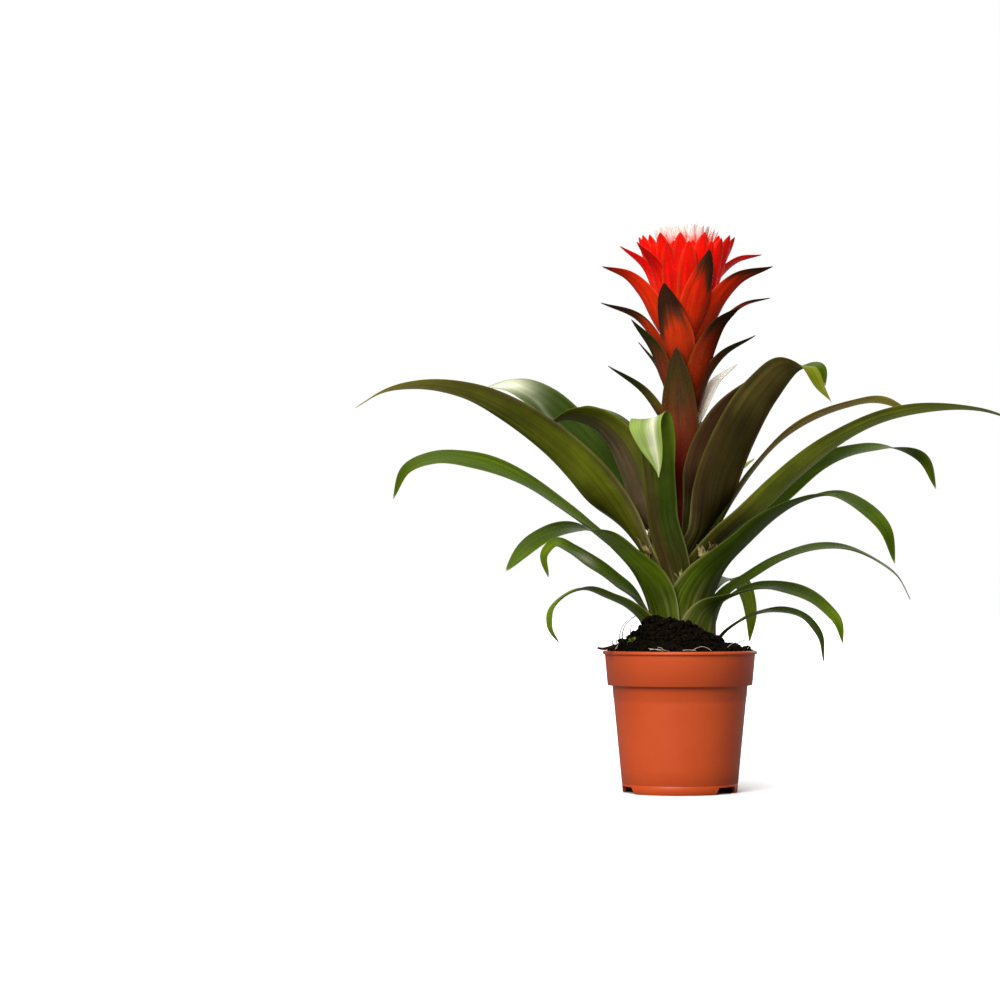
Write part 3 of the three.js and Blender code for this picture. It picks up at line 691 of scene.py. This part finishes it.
def leaf_tints(leaf, phase):
    def tints(s, w):
        shift = 0.08 * wander(s * 6, w * 1.5, phase)
        faces = []
        for foot, middle, tip in (leaf.upper, leaf.under):
            tint = foot.lerp(middle, rise(s + shift, 0.04, 0.3))
            faces.append(tint.lerp(tip, rise(s + shift, leaf.turns, 1 - leaf.turns)))
        # The band and the edges: partly the leaf's own flush, partly painted light and shade across the folded
        # underside
        if leaf.band:
            band, side, end = leaf.band
            share = rise(side * w + shift, -0.1, 0.5) * (1 - rise(s - end, -0.15, 0.3))
            faces[1] = faces[1].lerp(band, 0.75 * share)
        if leaf.edges:
            rim, start = leaf.edges
            share = rise(abs(w + 3 * shift), start, 0.4) * (1 - rise(s, 0.6, 0.25))
            faces[1] = faces[1].lerp(rim, 0.8 * share)
        # Painted highlights: pale patches on the upper face that stand in for its gloss
        for along, across, length, width, strength in leaf.gleams:
            far = ((s - along) / length) ** 2 + ((w - across + 4 * shift) / width) ** 2
            faces[0] = faces[0].lerp(GLEAM, strength * math.exp(-far))
        layers = [(PALE, 0.2 * rise(abs(w), 0.9, 0.1)), (STRAW, rise(s, 0.985, 0.012))]
        low = 1 - rise(s, 0.04, 0.16)
        fibre = smooth(0.5 + 1.6 * wander(w * 11, s * 4, phase))
        pale_fibre = smooth(2.4 * wander(w * 17, s * 5, phase + 9) - 0.1)
        foot = FOOT_GREEN.lerp(BROWN, 0.65 * fibre).lerp(STRAW, 0.35 * pale_fibre)
        rim = rise(abs(w), 0.86, 0.1) * (1 - rise(s, 0.1, 0.2))
        layers += [(foot, leaf.worn * low), (PALE.lerp(STRAW, 0.4), 0.4 * rim)]
        for tint, share in layers:
            faces = [face.lerp(tint, share) for face in faces]
        return faces
    return tints


def make_leaf(leaf, layer):
    radius = SHEATH_OUTER_R - LAYER * layer
    place = midrib([(radius, leaf.leaves)] + leaf.rib)
    inner_face = radius * math.cos(math.radians(leaf.arc) / SHEATH_FLATS) - INNER_FACE
    foot = CONE_TIP + 1.5 * GAP - CONE_SLOPE * inner_face
    skin = leaf_tints(leaf, layer * 3.7)

    def share(row):
        """The share of the leaf's length at a row. The first two rows are both at its start."""
        return max(0.0, row - 1) / (LEAF_ROWS - 1)

    sections = []
    for row in range(LEAF_ROWS + 1):
        at, *rest = leaf_section(leaf, layer, place, share(row))
        sections.append((at if row else Vector((at.x, at.y, foot)), *rest))

    def spot(v, w):
        s = share(v * LEAF_ROWS)
        free = rise(s, 0.2, 0.2) * (1 - rise(s, 0.85, 0.15))
        wave = EDGE_WAVE * abs(w) ** 3 * math.sin(2 * math.pi * (3.3 * s + layer * 0.37) + w)
        return across_section(sections[round(v * LEAF_ROWS)], w, wave * free)

    def tints(v, w):
        return skin(share(v * LEAF_ROWS), w)

    return blade(f"{leaf.name}_blade", LEAF_ROWS, LEAF_COLUMNS, spot, tints, LEAF_THICK, LEAF_SKINS)


for layer, leaf in enumerate(LEAVES):
    dress(make_leaf(leaf, layer), leaf.name)


# Stalk, bracts and head

OUTER_GRID = (30, 12)
INNER_GRID = (14, 4)
SIDE_GRID = (14, 6)
FLORET_GRID = (12, 4)
WELD = 0.000005
CREASE = 40
SUNK = 1.2
BRACT_WAVE = 0.3 / 26


def leaning(point):
    return Vector((point.x + LEAN * max(0.0, point.z - LEAN_FROM), point.y, point.z))


def turned(name, rings, steps, spot, crease):
    """A closed solid of rings round the axis, the first and the last on it. spot(ring, angle) gives its points."""
    last = len(rings) - 1
    piece = fresh(name, bpy.ops.mesh.primitive_grid_add, x_subdivisions=steps, y_subdivisions=last, size=1)
    for vertex in piece.data.vertices:
        angle = 2 * math.pi * (vertex.co.x + 0.5)
        vertex.co = spot(rings[round((vertex.co.y + 0.5) * last)], angle) * MM
    bpy.ops.object.mode_set(mode="EDIT")
    bpy.ops.mesh.select_all(action="SELECT")
    bpy.ops.mesh.remove_doubles(threshold=WELD)
    bpy.ops.mesh.normals_make_consistent(inside=False)
    bpy.ops.object.mode_set(mode="OBJECT")
    bpy.ops.object.shade_smooth_by_angle(angle=math.radians(crease))
    return piece


def lathe(name, profile, steps, lean=False):
    """A closed solid turned from a profile of (radius, height)."""
    def spot(ring, angle):
        point = polar(ring[0], angle, ring[1])
        return leaning(point) if lean else point

    return turned(name, profile, steps, spot, CREASE)


# How a bract narrows: its share of the width at the foot, how far on it stays wide, and how sharply its tip draws in
OUTLINES = {
    "lance": (0.62, 2.2, 0.9),
    "broad": (0.7, 3.2, 0.85),
    "full": (0.62, 5, 0.62),
    "blunt": (1, 8, 0.5),
}


def bract_blade(name, bract, core, grid, tints, materials=BRACT_SKINS, thick=BRACT_THICK):
    """A bract that grows from SUNK inside a core of this radius."""
    along, across = grid
    place = midrib([(core - SUNK, bract.foot)] + bract.rib)
    heading = math.radians(bract.heading)
    width = bract.width
    foot, stays, sharp = OUTLINES[bract.shape]

    def section(s):
        outline = lerp(foot, 1, rise(s, 0, 0.4)) * max(0.0, 1 - s ** stays) ** sharp
        wide = max(LEAST_WIDTH, width * outline)
        bend = lerp(max(core, width / 3.4), width * 0.8, rise(s, 0, 0.8))
        roll = math.radians(bract.roll * rise(s, 0, 0.5))
        at, side, *rest = section_along(place, s, lambda t: heading, (wide, bend, roll))
        return at + side * (bract.skew * rise(s, 0.4, 0.6)), side, *rest

    sections = [section(row / along) for row in range(along + 1)]

    def spot(v, w):
        wave = BRACT_WAVE * width * abs(w) ** 3 * math.sin(7 * v + bract.heading) * rise(v, 0.3, 0.3)
        return leaning(across_section(sections[round(v * along)], w, wave))

    return blade(name, along, across, spot, tints, thick, materials)


def bract_blades(name, bracts, core, grid, tints, thick=BRACT_THICK):
    """One blade for each bract, in the colours of tints(bract)."""
    return [bract_blade(f"{name}_{i}", bract, core, grid, tints(bract), thick=thick) for i, bract in enumerate(bracts)]


def stem_tints(bract):
    foot, middle, tip, inside = bract.look

    def tints(s, w):
        grain = 0.14 * wander(s * 4, w * 3, bract.heading)
        tint = foot.lerp(middle, rise(s + grain, 0.2, 0.35))
        tint = tint.lerp(tip, rise(s + grain + 0.12 * abs(w), 0.56, 0.3))
        tint = tint.lerp(BLACKISH, 0.5 * rise(s, 0.85, 0.15))
        tint = tint.lerp(OLIVE_BROWN, 0.4 * rise(abs(w), 0.88, 0.1))
        return inside.lerp(BLACKISH, 0.4 * rise(s, 0.7, 0.3)), tint
    return tints


def red_tints(bract):
    """Orange at the foot, red above, and a dark tip."""
    def tints(s, w):
        grain = 0.10 * wander(s * 5, w * 2.5, bract.heading)
        low = 1 - rise(bract.foot, 314, 46)
        tint = ORANGE.lerp(RUST, low).lerp(ORANGE.lerp(RED, 1 - 0.8 * low), rise(s, 0.15 * low, 0.7))
        streak = 0.10 * wander(s * 1.5, w * 9, bract.heading)
        aslant = 0.10 * abs(w) + 0.02 * bract.skew * w
        tip = rise(s + grain + streak + aslant, bract.dark, 0.36)
        tint = tint.lerp(RIM_ORANGE, 0.32 * rise(abs(w), 0.86, 0.1))
        tint = tint.lerp(RUST_BROWN, smooth(2 * tip)).lerp(BLACKISH, 0.85 * smooth(1.6 * tip - 0.6))
        return RED.lerp(MAROON, 0.8 * tip), tint
    return tints


def make_stem():
    cone_at = CONE_TIP - CONE_SLOPE * ROOT_TOP_R
    neck = CONE_TIP - CONE_SLOPE * STALK_R
    profile = [(0, ROOT_FOOT), (ROOT_FOOT_R, ROOT_FOOT), (ROOT_TOP_R, ROOT_SHOULDER), (ROOT_TOP_R, cone_at),
               (STALK_R, neck), (STALK_R, 180), (STALK_R, 230), (STALK_R + 1, STALK_TOP), (0, STALK_TOP)]
    stalk = lathe("stalk", profile, 32, lean=True)
    clad(stalk, lambda i: (MAROON, MAROON), BRACT_SKINS)
    bracts = bract_blades("stem_bract", STEM_BRACTS, STALK_R + 0.6, OUTER_GRID, stem_tints)
    return joined("flower_stem_and_bracts", [stalk] + bracts)


OUTER_CORE_R = 7
INNER_CORE_R = 12
INNER_RED = 36
RED_RAGGED = 3.5

# Broad upright bracts at the sides of the tuft: heading, roll and reach of the tip
SIDE_RED = [(176, 35, 37), (196, 30, 35), (4, -35, 39), (346, -30, 36), (160, 20, 34), (22, -20, 35)]


def make_red():
    profile = [(0, RED_FOOT), (STALK_R, RED_FOOT), (9, 350), (15, 385), (17, RED_TOP - 4), (14, RED_TOP), (0, RED_TOP)]
    core = lathe("red_core", profile, 28, lean=True)
    clad(core, lambda i: (RED, RED), BRACT_SKINS)
    inner = []
    for i in range(INNER_RED):
        f = i / (INNER_RED - 1)
        heading = math.degrees(i * GOLDEN) % 360
        ragged = RED_RAGGED * math.sin(5.1 * i)
        top = (34 - 8 * f + 0.4 * ragged, 431 + 3 * f + ragged)
        inner.append(Bract(heading, 352 + 30 * f, 19 - 4 * f, [(21 - f, 388 + 13 * f), (28 - 4 * f, 412 + 6 * f), top],
                           roll=-30 * math.cos(math.radians(heading)), shape="full", dark=0.97))
    side = [Bract(heading, 356, 18, [(21, 390), (29, 414), (reach, 436)], roll=roll, shape="full", dark=0.96)
            for heading, roll, reach in SIDE_RED]
    pieces = [core] + bract_blades("red_bract", OUTER_RED, OUTER_CORE_R, OUTER_GRID, red_tints)
    pieces += bract_blades("inner", inner, INNER_CORE_R, INNER_GRID, red_tints, INNER_THICK)
    pieces += bract_blades("side", side, INNER_CORE_R, SIDE_GRID, red_tints, INNER_THICK)
    return joined("red_bract_spiral", pieces)


FLORETS = 90
FLORET_THICK = 0.8
FLORET_RING_R = 25
FLORET_TOP = 447
FLORET_RAGGED = 2.5
DOME_DROP = 5


def floret_tints(pale):
    """Red below, then pink, and white from the share pale of the floret's length up."""
    def tints(s, w):
        tint = RED.lerp(PINK, rise(s - pale, -0.16, 0.14)).lerp(WHITE, rise(s, pale, 0.16))
        # Painted shade: greyish pink along the edges of the white part, where the florets meet
        tint = tint.lerp(SHADE_PINK, 0.45 * rise(abs(w), 0.4, 0.5) * rise(s, pale, 0.1))
        return tint, tint
    return tints


def make_florets():
    profile = [(0, RED_TOP + GAP), (15, RED_TOP + GAP), (19, 412), (21, 424), (19, 433), (15, 438), (8, 441.5),
               (0, 442.5)]
    dome = lathe("floret_dome", profile, 28, lean=True)

    def dome_tint(i):
        high = dome.data.vertices[i].co.z / MM
        tint = RED.lerp(PINK, rise(high, 426, 6)).lerp(WHITE, rise(high, 431, 6))
        return tint, tint

    clad(dome, dome_tint, FLORET_SKINS)
    pieces = [dome]
    rng = random.Random(7)
    for i in range(FLORETS):
        f = math.sqrt((i + 0.5) / FLORETS)
        r = FLORET_RING_R * f
        top = FLORET_TOP - DOME_DROP * f * f - FLORET_RAGGED * rng.random()
        heading = math.degrees(i * GOLDEN) % 360 + 8 * (rng.random() - 0.5)
        petal = Bract(heading, top - 30, lerp(4.6, 6.6, rng.random()),
                      [(r * 0.78 + 1.2, top - 18), (r * 0.9 + 1, top - 8), (r + 1, top)], shape="blunt")
        tints = floret_tints(0.58 + 0.12 * rng.random())
        pieces.append(bract_blade(f"floret_{i}", petal, r * 0.68 + 1.4, FLORET_GRID, tints, FLORET_SKINS, FLORET_THICK))
    return joined("floret_tuft", pieces)


dress(make_stem(), "flower_stem")
dress(make_red(), "red_bracts")
dress(make_florets(), "florets")


# Pot

def cutter(name, heading):
    """A wedge-sided block for one drainage notch."""
    piece = fresh(name, bpy.ops.mesh.primitive_cube_add, size=1)
    turn = Matrix.Rotation(math.radians(heading), 3, "Z")
    for vertex in piece.data.vertices:
        top = vertex.co.z > 0
        half = NOTCH_WIDTH / 2 - 2 if top else NOTCH_WIDTH / 2 + 1
        x = BODY_FOOT_R + (5 if vertex.co.x > 0 else -9)
        vertex.co = turn @ Vector((x, math.copysign(half, vertex.co.y), NOTCH_HEIGHT if top else -1)) * MM
    return piece


def make_pot():
    foot_in = BODY_FOOT_R - FOOT_WIDTH
    slope = (BODY_TOP_R - BODY_FOOT_R) / BAND_FOOT

    def wall(z):
        return BODY_FOOT_R + z * slope

    lip_foot = LIP_TOP - LIP_DEPTH
    profile = [
        (0, FLOOR_UNDER), (foot_in - 0.4, FLOOR_UNDER), (foot_in, FLOOR_UNDER - 0.4), (foot_in, 0.3),
        (foot_in + 0.3, 0), (BODY_FOOT_R - 0.4, 0), (BODY_FOOT_R, 0.4), (BODY_FOOT_R + 0.6, 6.6),
        (BODY_FOOT_R + 0.35, 7.0), (BODY_FOOT_R + 0.7, 7.6), (wall(20), 20), (wall(45), 45), (wall(70), 70),
        (wall(73.5), 73.5), (wall(73.8) + 0.25, 74),
        (BODY_TOP_R, BAND_FOOT - 0.6), (BODY_TOP_R + 0.4, BAND_FOOT), (BAND_FOOT_R - 0.5, BAND_FOOT),
        (BAND_FOOT_R, BAND_FOOT + 0.5), (BAND_TOP_R, lip_foot), (LIP_R - 0.5, lip_foot + 0.3),
        (LIP_R - 0.1, lip_foot + 0.8), (LIP_R, LIP_TOP - LIP_DEPTH / 2), (LIP_R - 0.2, LIP_TOP - 0.7),
        (LIP_R - 0.7, LIP_TOP - 0.15), (LIP_R - 1.4, LIP_TOP), (LIP_R - 2.2, LIP_TOP - 0.2),
        (BAND_TOP_R - POT_WALL, LIP_TOP - 0.8), (BAND_FOOT_R - POT_WALL, BAND_FOOT + POT_WALL),
        (BODY_TOP_R - POT_WALL, BAND_FOOT + POT_WALL), (BODY_FOOT_R - POT_WALL, FLOOR_TOP), (0, FLOOR_TOP),
    ]
    pot = lathe("nursery_pot", profile, 128)
    cutters = [cutter(f"notch_{i}", heading) for i, heading in enumerate(NOTCH_HEADINGS)]
    for i in range(DRAIN_COUNT):
        drain = fresh(f"drain_{i}", bpy.ops.mesh.primitive_cylinder_add, vertices=24, radius=DRAIN_R * MM, depth=6 * MM)
        shift = polar(DRAIN_RING_R, 2 * math.pi * i / DRAIN_COUNT, FLOOR_TOP) * MM
        for vertex in drain.data.vertices:
            vertex.co += shift
        cutters.append(drain)
    tool = joined("pot_cutters", cutters)
    only(pot)
    cut = pot.modifiers.new("Notches", "BOOLEAN")
    cut.operation = "DIFFERENCE"
    cut.solver = "EXACT"
    cut.object = tool
    apply_all(pot)
    bpy.data.objects.remove(tool)
    bpy.ops.object.shade_smooth_by_angle(angle=math.radians(CREASE))
    pot.data.materials.append(TERRACOTTA)
    return pot


dress(make_pot(), "pot")


# Peat

SOIL_STEPS = 220
SOIL_RINGS = 44
SOIL_CREASE = 50
SOIL_R = 57.2
SOIL_EDGE = 111
SLOPE_FOOT_R = 57
SLOPE_WIDTH = 23

# The mound: its least rise, and how much more it rises towards two headings
MOUND = 5
MOUND_SIDES = [(19, 248), (8, 100)]


def soil_top(r, angle):
    high = MOUND
    for more, heading in MOUND_SIDES:
        high += more * max(0.0, math.cos(angle - math.radians(heading)))
    near = min(max((SLOPE_FOOT_R - r) / SLOPE_WIDTH, 0), 1)
    lumps = 0.9 * math.sin(7 * angle + r * 0.35) + 0.7 * math.sin(11 * angle - r * 0.6) + 0.5 * math.sin(r * 1.1)
    return SOIL_EDGE + high * near ** 1.2 + lumps * min(1, near * 4)


def make_soil():
    hole = ROOT_TOP_R + 0.5
    clear = POT_WALL + GAP
    outside = [(BAND_TOP_R - clear - 0.4, LIP_TOP - 2.5), (BAND_FOOT_R - clear, BAND_FOOT + clear),
               (BODY_TOP_R - clear, BAND_FOOT + clear), (BODY_FOOT_R - clear, FLOOR_TOP + GAP), (0, FLOOR_TOP + GAP)]
    inside = [(0, ROOT_FOOT - GAP), (ROOT_FOOT_R + GAP, ROOT_FOOT - GAP), (hole, ROOT_SHOULDER - 1)]
    top = [(hole + (SOIL_R - hole) * i / SOIL_RINGS, None) for i in range(SOIL_RINGS + 1)]

    def spot(ring, angle):
        r, z = ring
        if z is None:
            point = polar(r, angle, 0)
            coarse = noise.fractal(point * 0.22, 1.0, 2.0, 4)
            fine = noise.fractal(point * 0.9 + Vector((9, 4, 2)), 0.9, 2.0, 3)
            edge = min(1, max(0, (SOIL_R - r) / 5))
            z = soil_top(r, angle) + (1.7 * coarse + 1.1 * fine) * (0.25 + 0.75 * edge) - 0.4
        return polar(r, angle, z)

    soil = turned("peat", inside + top + outside, SOIL_STEPS, spot, SOIL_CREASE)
    soil.data.materials.append(PEAT)
    return soil


def rough_lump(rng):
    lump = fresh("lump", bpy.ops.mesh.primitive_ico_sphere_add, subdivisions=1, radius=MM)
    for vertex in lump.data.vertices:
        vertex.co *= 0.75 + 0.5 * rng.random()
    return lump


# Heaps of crumbs: name, count, seed, sizes, radii, the power that draws them outwards, and headings
CRUMB_HEAPS = [
    ("crumbs_top", 900, 3, (0.35, 1.9), (33, 56.5), 0.6, (0, 360)),
    ("crumbs_rim", 260, 4, (0.4, 1.3), (52, 57.5), 1, (0, 360)),
    ("crumbs_mound", 300, 5, (0.5, 3.0), (33, 48), 1, (215, 300)),
]
MOSS_HEAP = ("moss_bits", 44, 6, (0.4, 1.3), (46, 51), 1, (213, 222))
LUMPS = 6


def make_crumbs(material, name, count, seed, sizes, radii, outwards, headings):
    """Small rough lumps that lie on the peat, copied from a few."""
    rng = random.Random(seed)
    lumps = [rough_lump(rng) for _ in range(LUMPS)]
    pieces = []
    for i in range(count):
        r = lerp(*radii, rng.random() ** outwards)
        angle = math.radians(lerp(*headings, rng.random()))
        size = lerp(*sizes, rng.random() ** 2.5)
        stretch = Matrix.Diagonal((1 + 0.8 * rng.random(), 0.7 + 0.5 * rng.random(), 0.6 + 0.5 * rng.random(), 1))
        turn = Matrix.Rotation(rng.random() * 6.28, 4, "Z") @ Matrix.Rotation(rng.random() * 3, 4, "X")
        at = polar(r, angle, soil_top(r, angle) + size * 0.25) * MM
        piece = placed("crumb", lumps[i % LUMPS].data.copy())
        piece.data.transform(Matrix.Translation(at) @ turn @ stretch @ Matrix.Scale(size, 4))
        pieces.append(piece)
    for lump in lumps:
        bpy.data.objects.remove(lump)
    crumbs = joined(name, pieces)
    crumbs.data.materials.append(material)
    return crumbs


def strand(name, points, thick, material):
    """A round thread through the points, thinner towards its end."""
    line = bpy.data.curves.new(name, "CURVE")
    line.dimensions = "3D"
    line.bevel_depth = thick * MM / 2
    line.bevel_resolution = 1
    line.use_fill_caps = True
    spline = line.splines.new("NURBS")
    spline.points.add(len(points) - 1)
    for i, (knot, point) in enumerate(zip(spline.points, points)):
        knot.co = (*(Vector(point) * MM), 1)
        knot.radius = 1 - 0.5 * i / len(points)
    spline.use_endpoint_u = True
    spline.order_u = 4
    spline.resolution_u = 4
    line.materials.append(material)
    only(placed(name, line))
    bpy.ops.object.convert(target="MESH")
    bpy.ops.object.shade_smooth()
    return bpy.context.object


# Threads as points round the pot's axis: pale roots on the peat, and dark hairs that arch up from it
ROOT_LINES = [
    [(-24, -54, 113), (-21, -57, 112.5), (-18, -58.5, 112.2), (-15, -59.5, 111.6), (-13, -60.2, 110.6)],
    [(-17, -56, 113.5), (-15, -58.6, 114.6), (-13.5, -59.6, 113), (-12, -60, 111.4)],
    [(-23, -57.5, 112), (-18, -59, 113.2), (-12, -59.2, 111.8), (-8, -59.8, 110.9)],
    [(10, -57, 112), (14, -59, 114), (17, -59.4, 115.2), (21, -59.2, 113.6), (24, -59.5, 111.3)],
    [(2, -58, 111.6), (7, -59.2, 112.4), (12, -58.6, 111.4)],
    [(-49, -34, 112.5), (-47, -37, 117), (-48, -39, 115), (-50, -38, 112)],
    [(36, -40, 113), (40, -43, 117.5), (44, -43, 119), (47, -41, 116)],
    [(52, -22, 112), (55, -20, 116), (56, -17, 114)],
    [(20, 50, 116), (26, 54, 117), (31, 52, 113)],
]
HAIR_LINES = [
    [(-44, -30, 117), (-45, -31, 124), (-43, -32, 130), (-40, -32, 134), (-34, -32, 138)],
    [(-46, -30, 116), (-47, -31, 122), (-46, -32, 127), (-43, -32, 132), (-40, -32, 135)],
    [(-38, -32, 120), (-39, -34, 126), (-37, -34, 131)],
    [(-47, -34, 114), (-50, -36, 118), (-49, -37, 122)],
    [(-50, -28, 113), (-53, -30, 117), (-52, -31, 119)],
    [(40, -38, 113), (45, -40, 118), (50, -39, 119)],
]
TWIG_LINE = [(-49, -30, 114.5), (-54, -33, 113.5), (-58, -34, 112.2), (-61, -34.5, 112.4), (-63.5, -34, 113.2)]
ROOT_THICK = 0.35
HAIR_THICK = 0.85
TWIG_THICK = 3.2


def make_litter():
    """All that lies on the peat or grows out of it."""
    crumbs = joined("peat_crumbs", [make_crumbs(CRUMB, *heap) for heap in CRUMB_HEAPS])
    moss = make_crumbs(MOSS, *MOSS_HEAP)
    roots = joined("root_threads", [strand(f"root_{i}", line, ROOT_THICK, ROOT) for i, line in enumerate(ROOT_LINES)])
    hairs = joined("root_hairs", [strand(f"hair_{i}", line, HAIR_THICK, TWIG) for i, line in enumerate(HAIR_LINES)])
    return crumbs, moss, roots, hairs, strand("rim_twig", TWIG_LINE, TWIG_THICK, TWIG)


dress(make_soil(), "potting_soil")
for piece in make_litter():
    dress(piece, None)


# Tufts of dry shreds left from old sheaths: middle of the foot, half its spread, how far they lean to the right, and
# how many, how long and how wide they are
SHRED_TUFTS = [
    ((-27, -22, 178), 4, -0.3, 12, 13, 1.5),
    ((20, -27, 183), 4.5, 0.1, 8, 11, 3.4),
    ((28, -24, 187), 4, 0.5, 7, 10, 3.2),
    ((1, -32, 166), 2.0, -0.1, 6, 8, 2.0),
    ((-21.5, -16, 185), 2.5, -0.06, 6, 26, 6.5),
]


SHRED_GRID = (8, 2)
SHRED_THICK = 0.2


def make_shreds():
    rng = random.Random(12)
    pieces = []
    for (x, y, z), spread_out, lean, count, length, width in SHRED_TUFTS:
        for i in range(count):
            off = 2 * (i + 0.5) / count - 1
            foot = Vector((x + spread_out * off, y + rng.uniform(-1, 1), z + rng.uniform(-1, 1.5)))
            way = Vector((lean + 0.5 * off + rng.uniform(-0.2, 0.2), rng.uniform(-0.3, 0.1), 1)).normalized()
            side = way.cross(Vector((rng.uniform(-0.6, 0.6), -1, 0))).normalized()
            out = side.cross(way)
            tall = length * rng.uniform(0.6, 1.1)
            curl = rng.uniform(-2.5, 2.5)
            wide = width * rng.uniform(0.5, 1.1) / 2

            def spot(v, w):
                ragged = 1.2 * wander(w * 3, len(pieces) * 5.1, v) * v
                half = wide * (1 - 0.8 * v ** 2 + 0.4 * wander(v * 5, len(pieces) * 3.3, 0.5))
                return foot + way * (tall * v + ragged) + side * (w * half + curl * v * v) + out * (0.8 * curl * v ** 3)

            pieces.append(blade(f"shred_{len(pieces)}", *SHRED_GRID, spot, lambda v, w: (STRAW, STRAW), SHRED_THICK,
                                (CHAFF, CHAFF)))
    return joined("dry_sheath_shreds", pieces)


dress(make_shreds(), None)


# Floor, light and camera, in metres

FLOOR_SIZE = 40

# The floor's grey in the picture and in the light it throws back, and the sky's strength as a light
FLOOR_SEEN = Vector((0.98, 0.98, 0.98))
FLOOR_LIT = Vector((0.2, 0.2, 0.2))
SKY_FILL = 0.12

# Each light: name, the way it comes from, power, and width in the sky in degrees
SUNS = [
    ("Key", (-0.30, -0.75, 0.60), 4.2, 44),
    ("Overhead", (-0.12, 0.20, 1.0), 2.5, 44),
    ("Back fill", (0.35, 0.85, 0.35), 1.1, 60),
]
CAMERA_AT = POT_AT + Vector((0, -2.2, 0.150))
CAMERA_TILT = 2.04


def make_floor():
    floor = fresh("floor", bpy.ops.mesh.primitive_plane_add, size=FLOOR_SIZE)
    tree, shader, material = new_material("Floor", Roughness=0.9, Specular_IOR_Level=0.0)
    seen = tree.nodes.new("ShaderNodeLightPath").outputs["Is Camera Ray"]
    tree.links.new(mixed(tree, "MIX", seen, FLOOR_LIT, FLOOR_SEEN), shader.inputs["Base Color"])
    floor.data.materials.append(material)


def sun_light(name, come_from, power, softness):
    """An even light over the whole floor."""
    data = bpy.data.lights.new(name, "SUN")
    data.energy = power
    data.angle = math.radians(softness)
    placed(name, data).rotation_euler = (-Vector(come_from)).to_track_quat("-Z", "Y").to_euler()


def make_world():
    world = bpy.data.worlds.new("Studio")
    bpy.context.scene.world = world
    world.use_nodes = True
    tree = world.node_tree
    background = tree.nodes["Background"]
    background.inputs["Color"].default_value = (1, 1, 1, 1)
    seen = tree.nodes.new("ShaderNodeLightPath").outputs["Is Camera Ray"]
    tree.links.new(spread(tree, seen, 0, 1, SKY_FILL, 1.0), background.inputs["Strength"])


make_floor()
make_world()
for sun in SUNS:
    sun_light(*sun)

camera_data = bpy.data.cameras.new("Camera")
camera_data.sensor_width = 36
camera_data.lens = 101.05
camera_data.shift_x = -0.18
camera_data.clip_end = 100
camera = placed("Camera", camera_data)
camera.location = CAMERA_AT
camera.rotation_euler = (math.radians(90 + CAMERA_TILT), 0, 0)
bpy.context.scene.camera = camera
bpy.context.scene.view_settings.view_transform = "Standard"

only(camera)
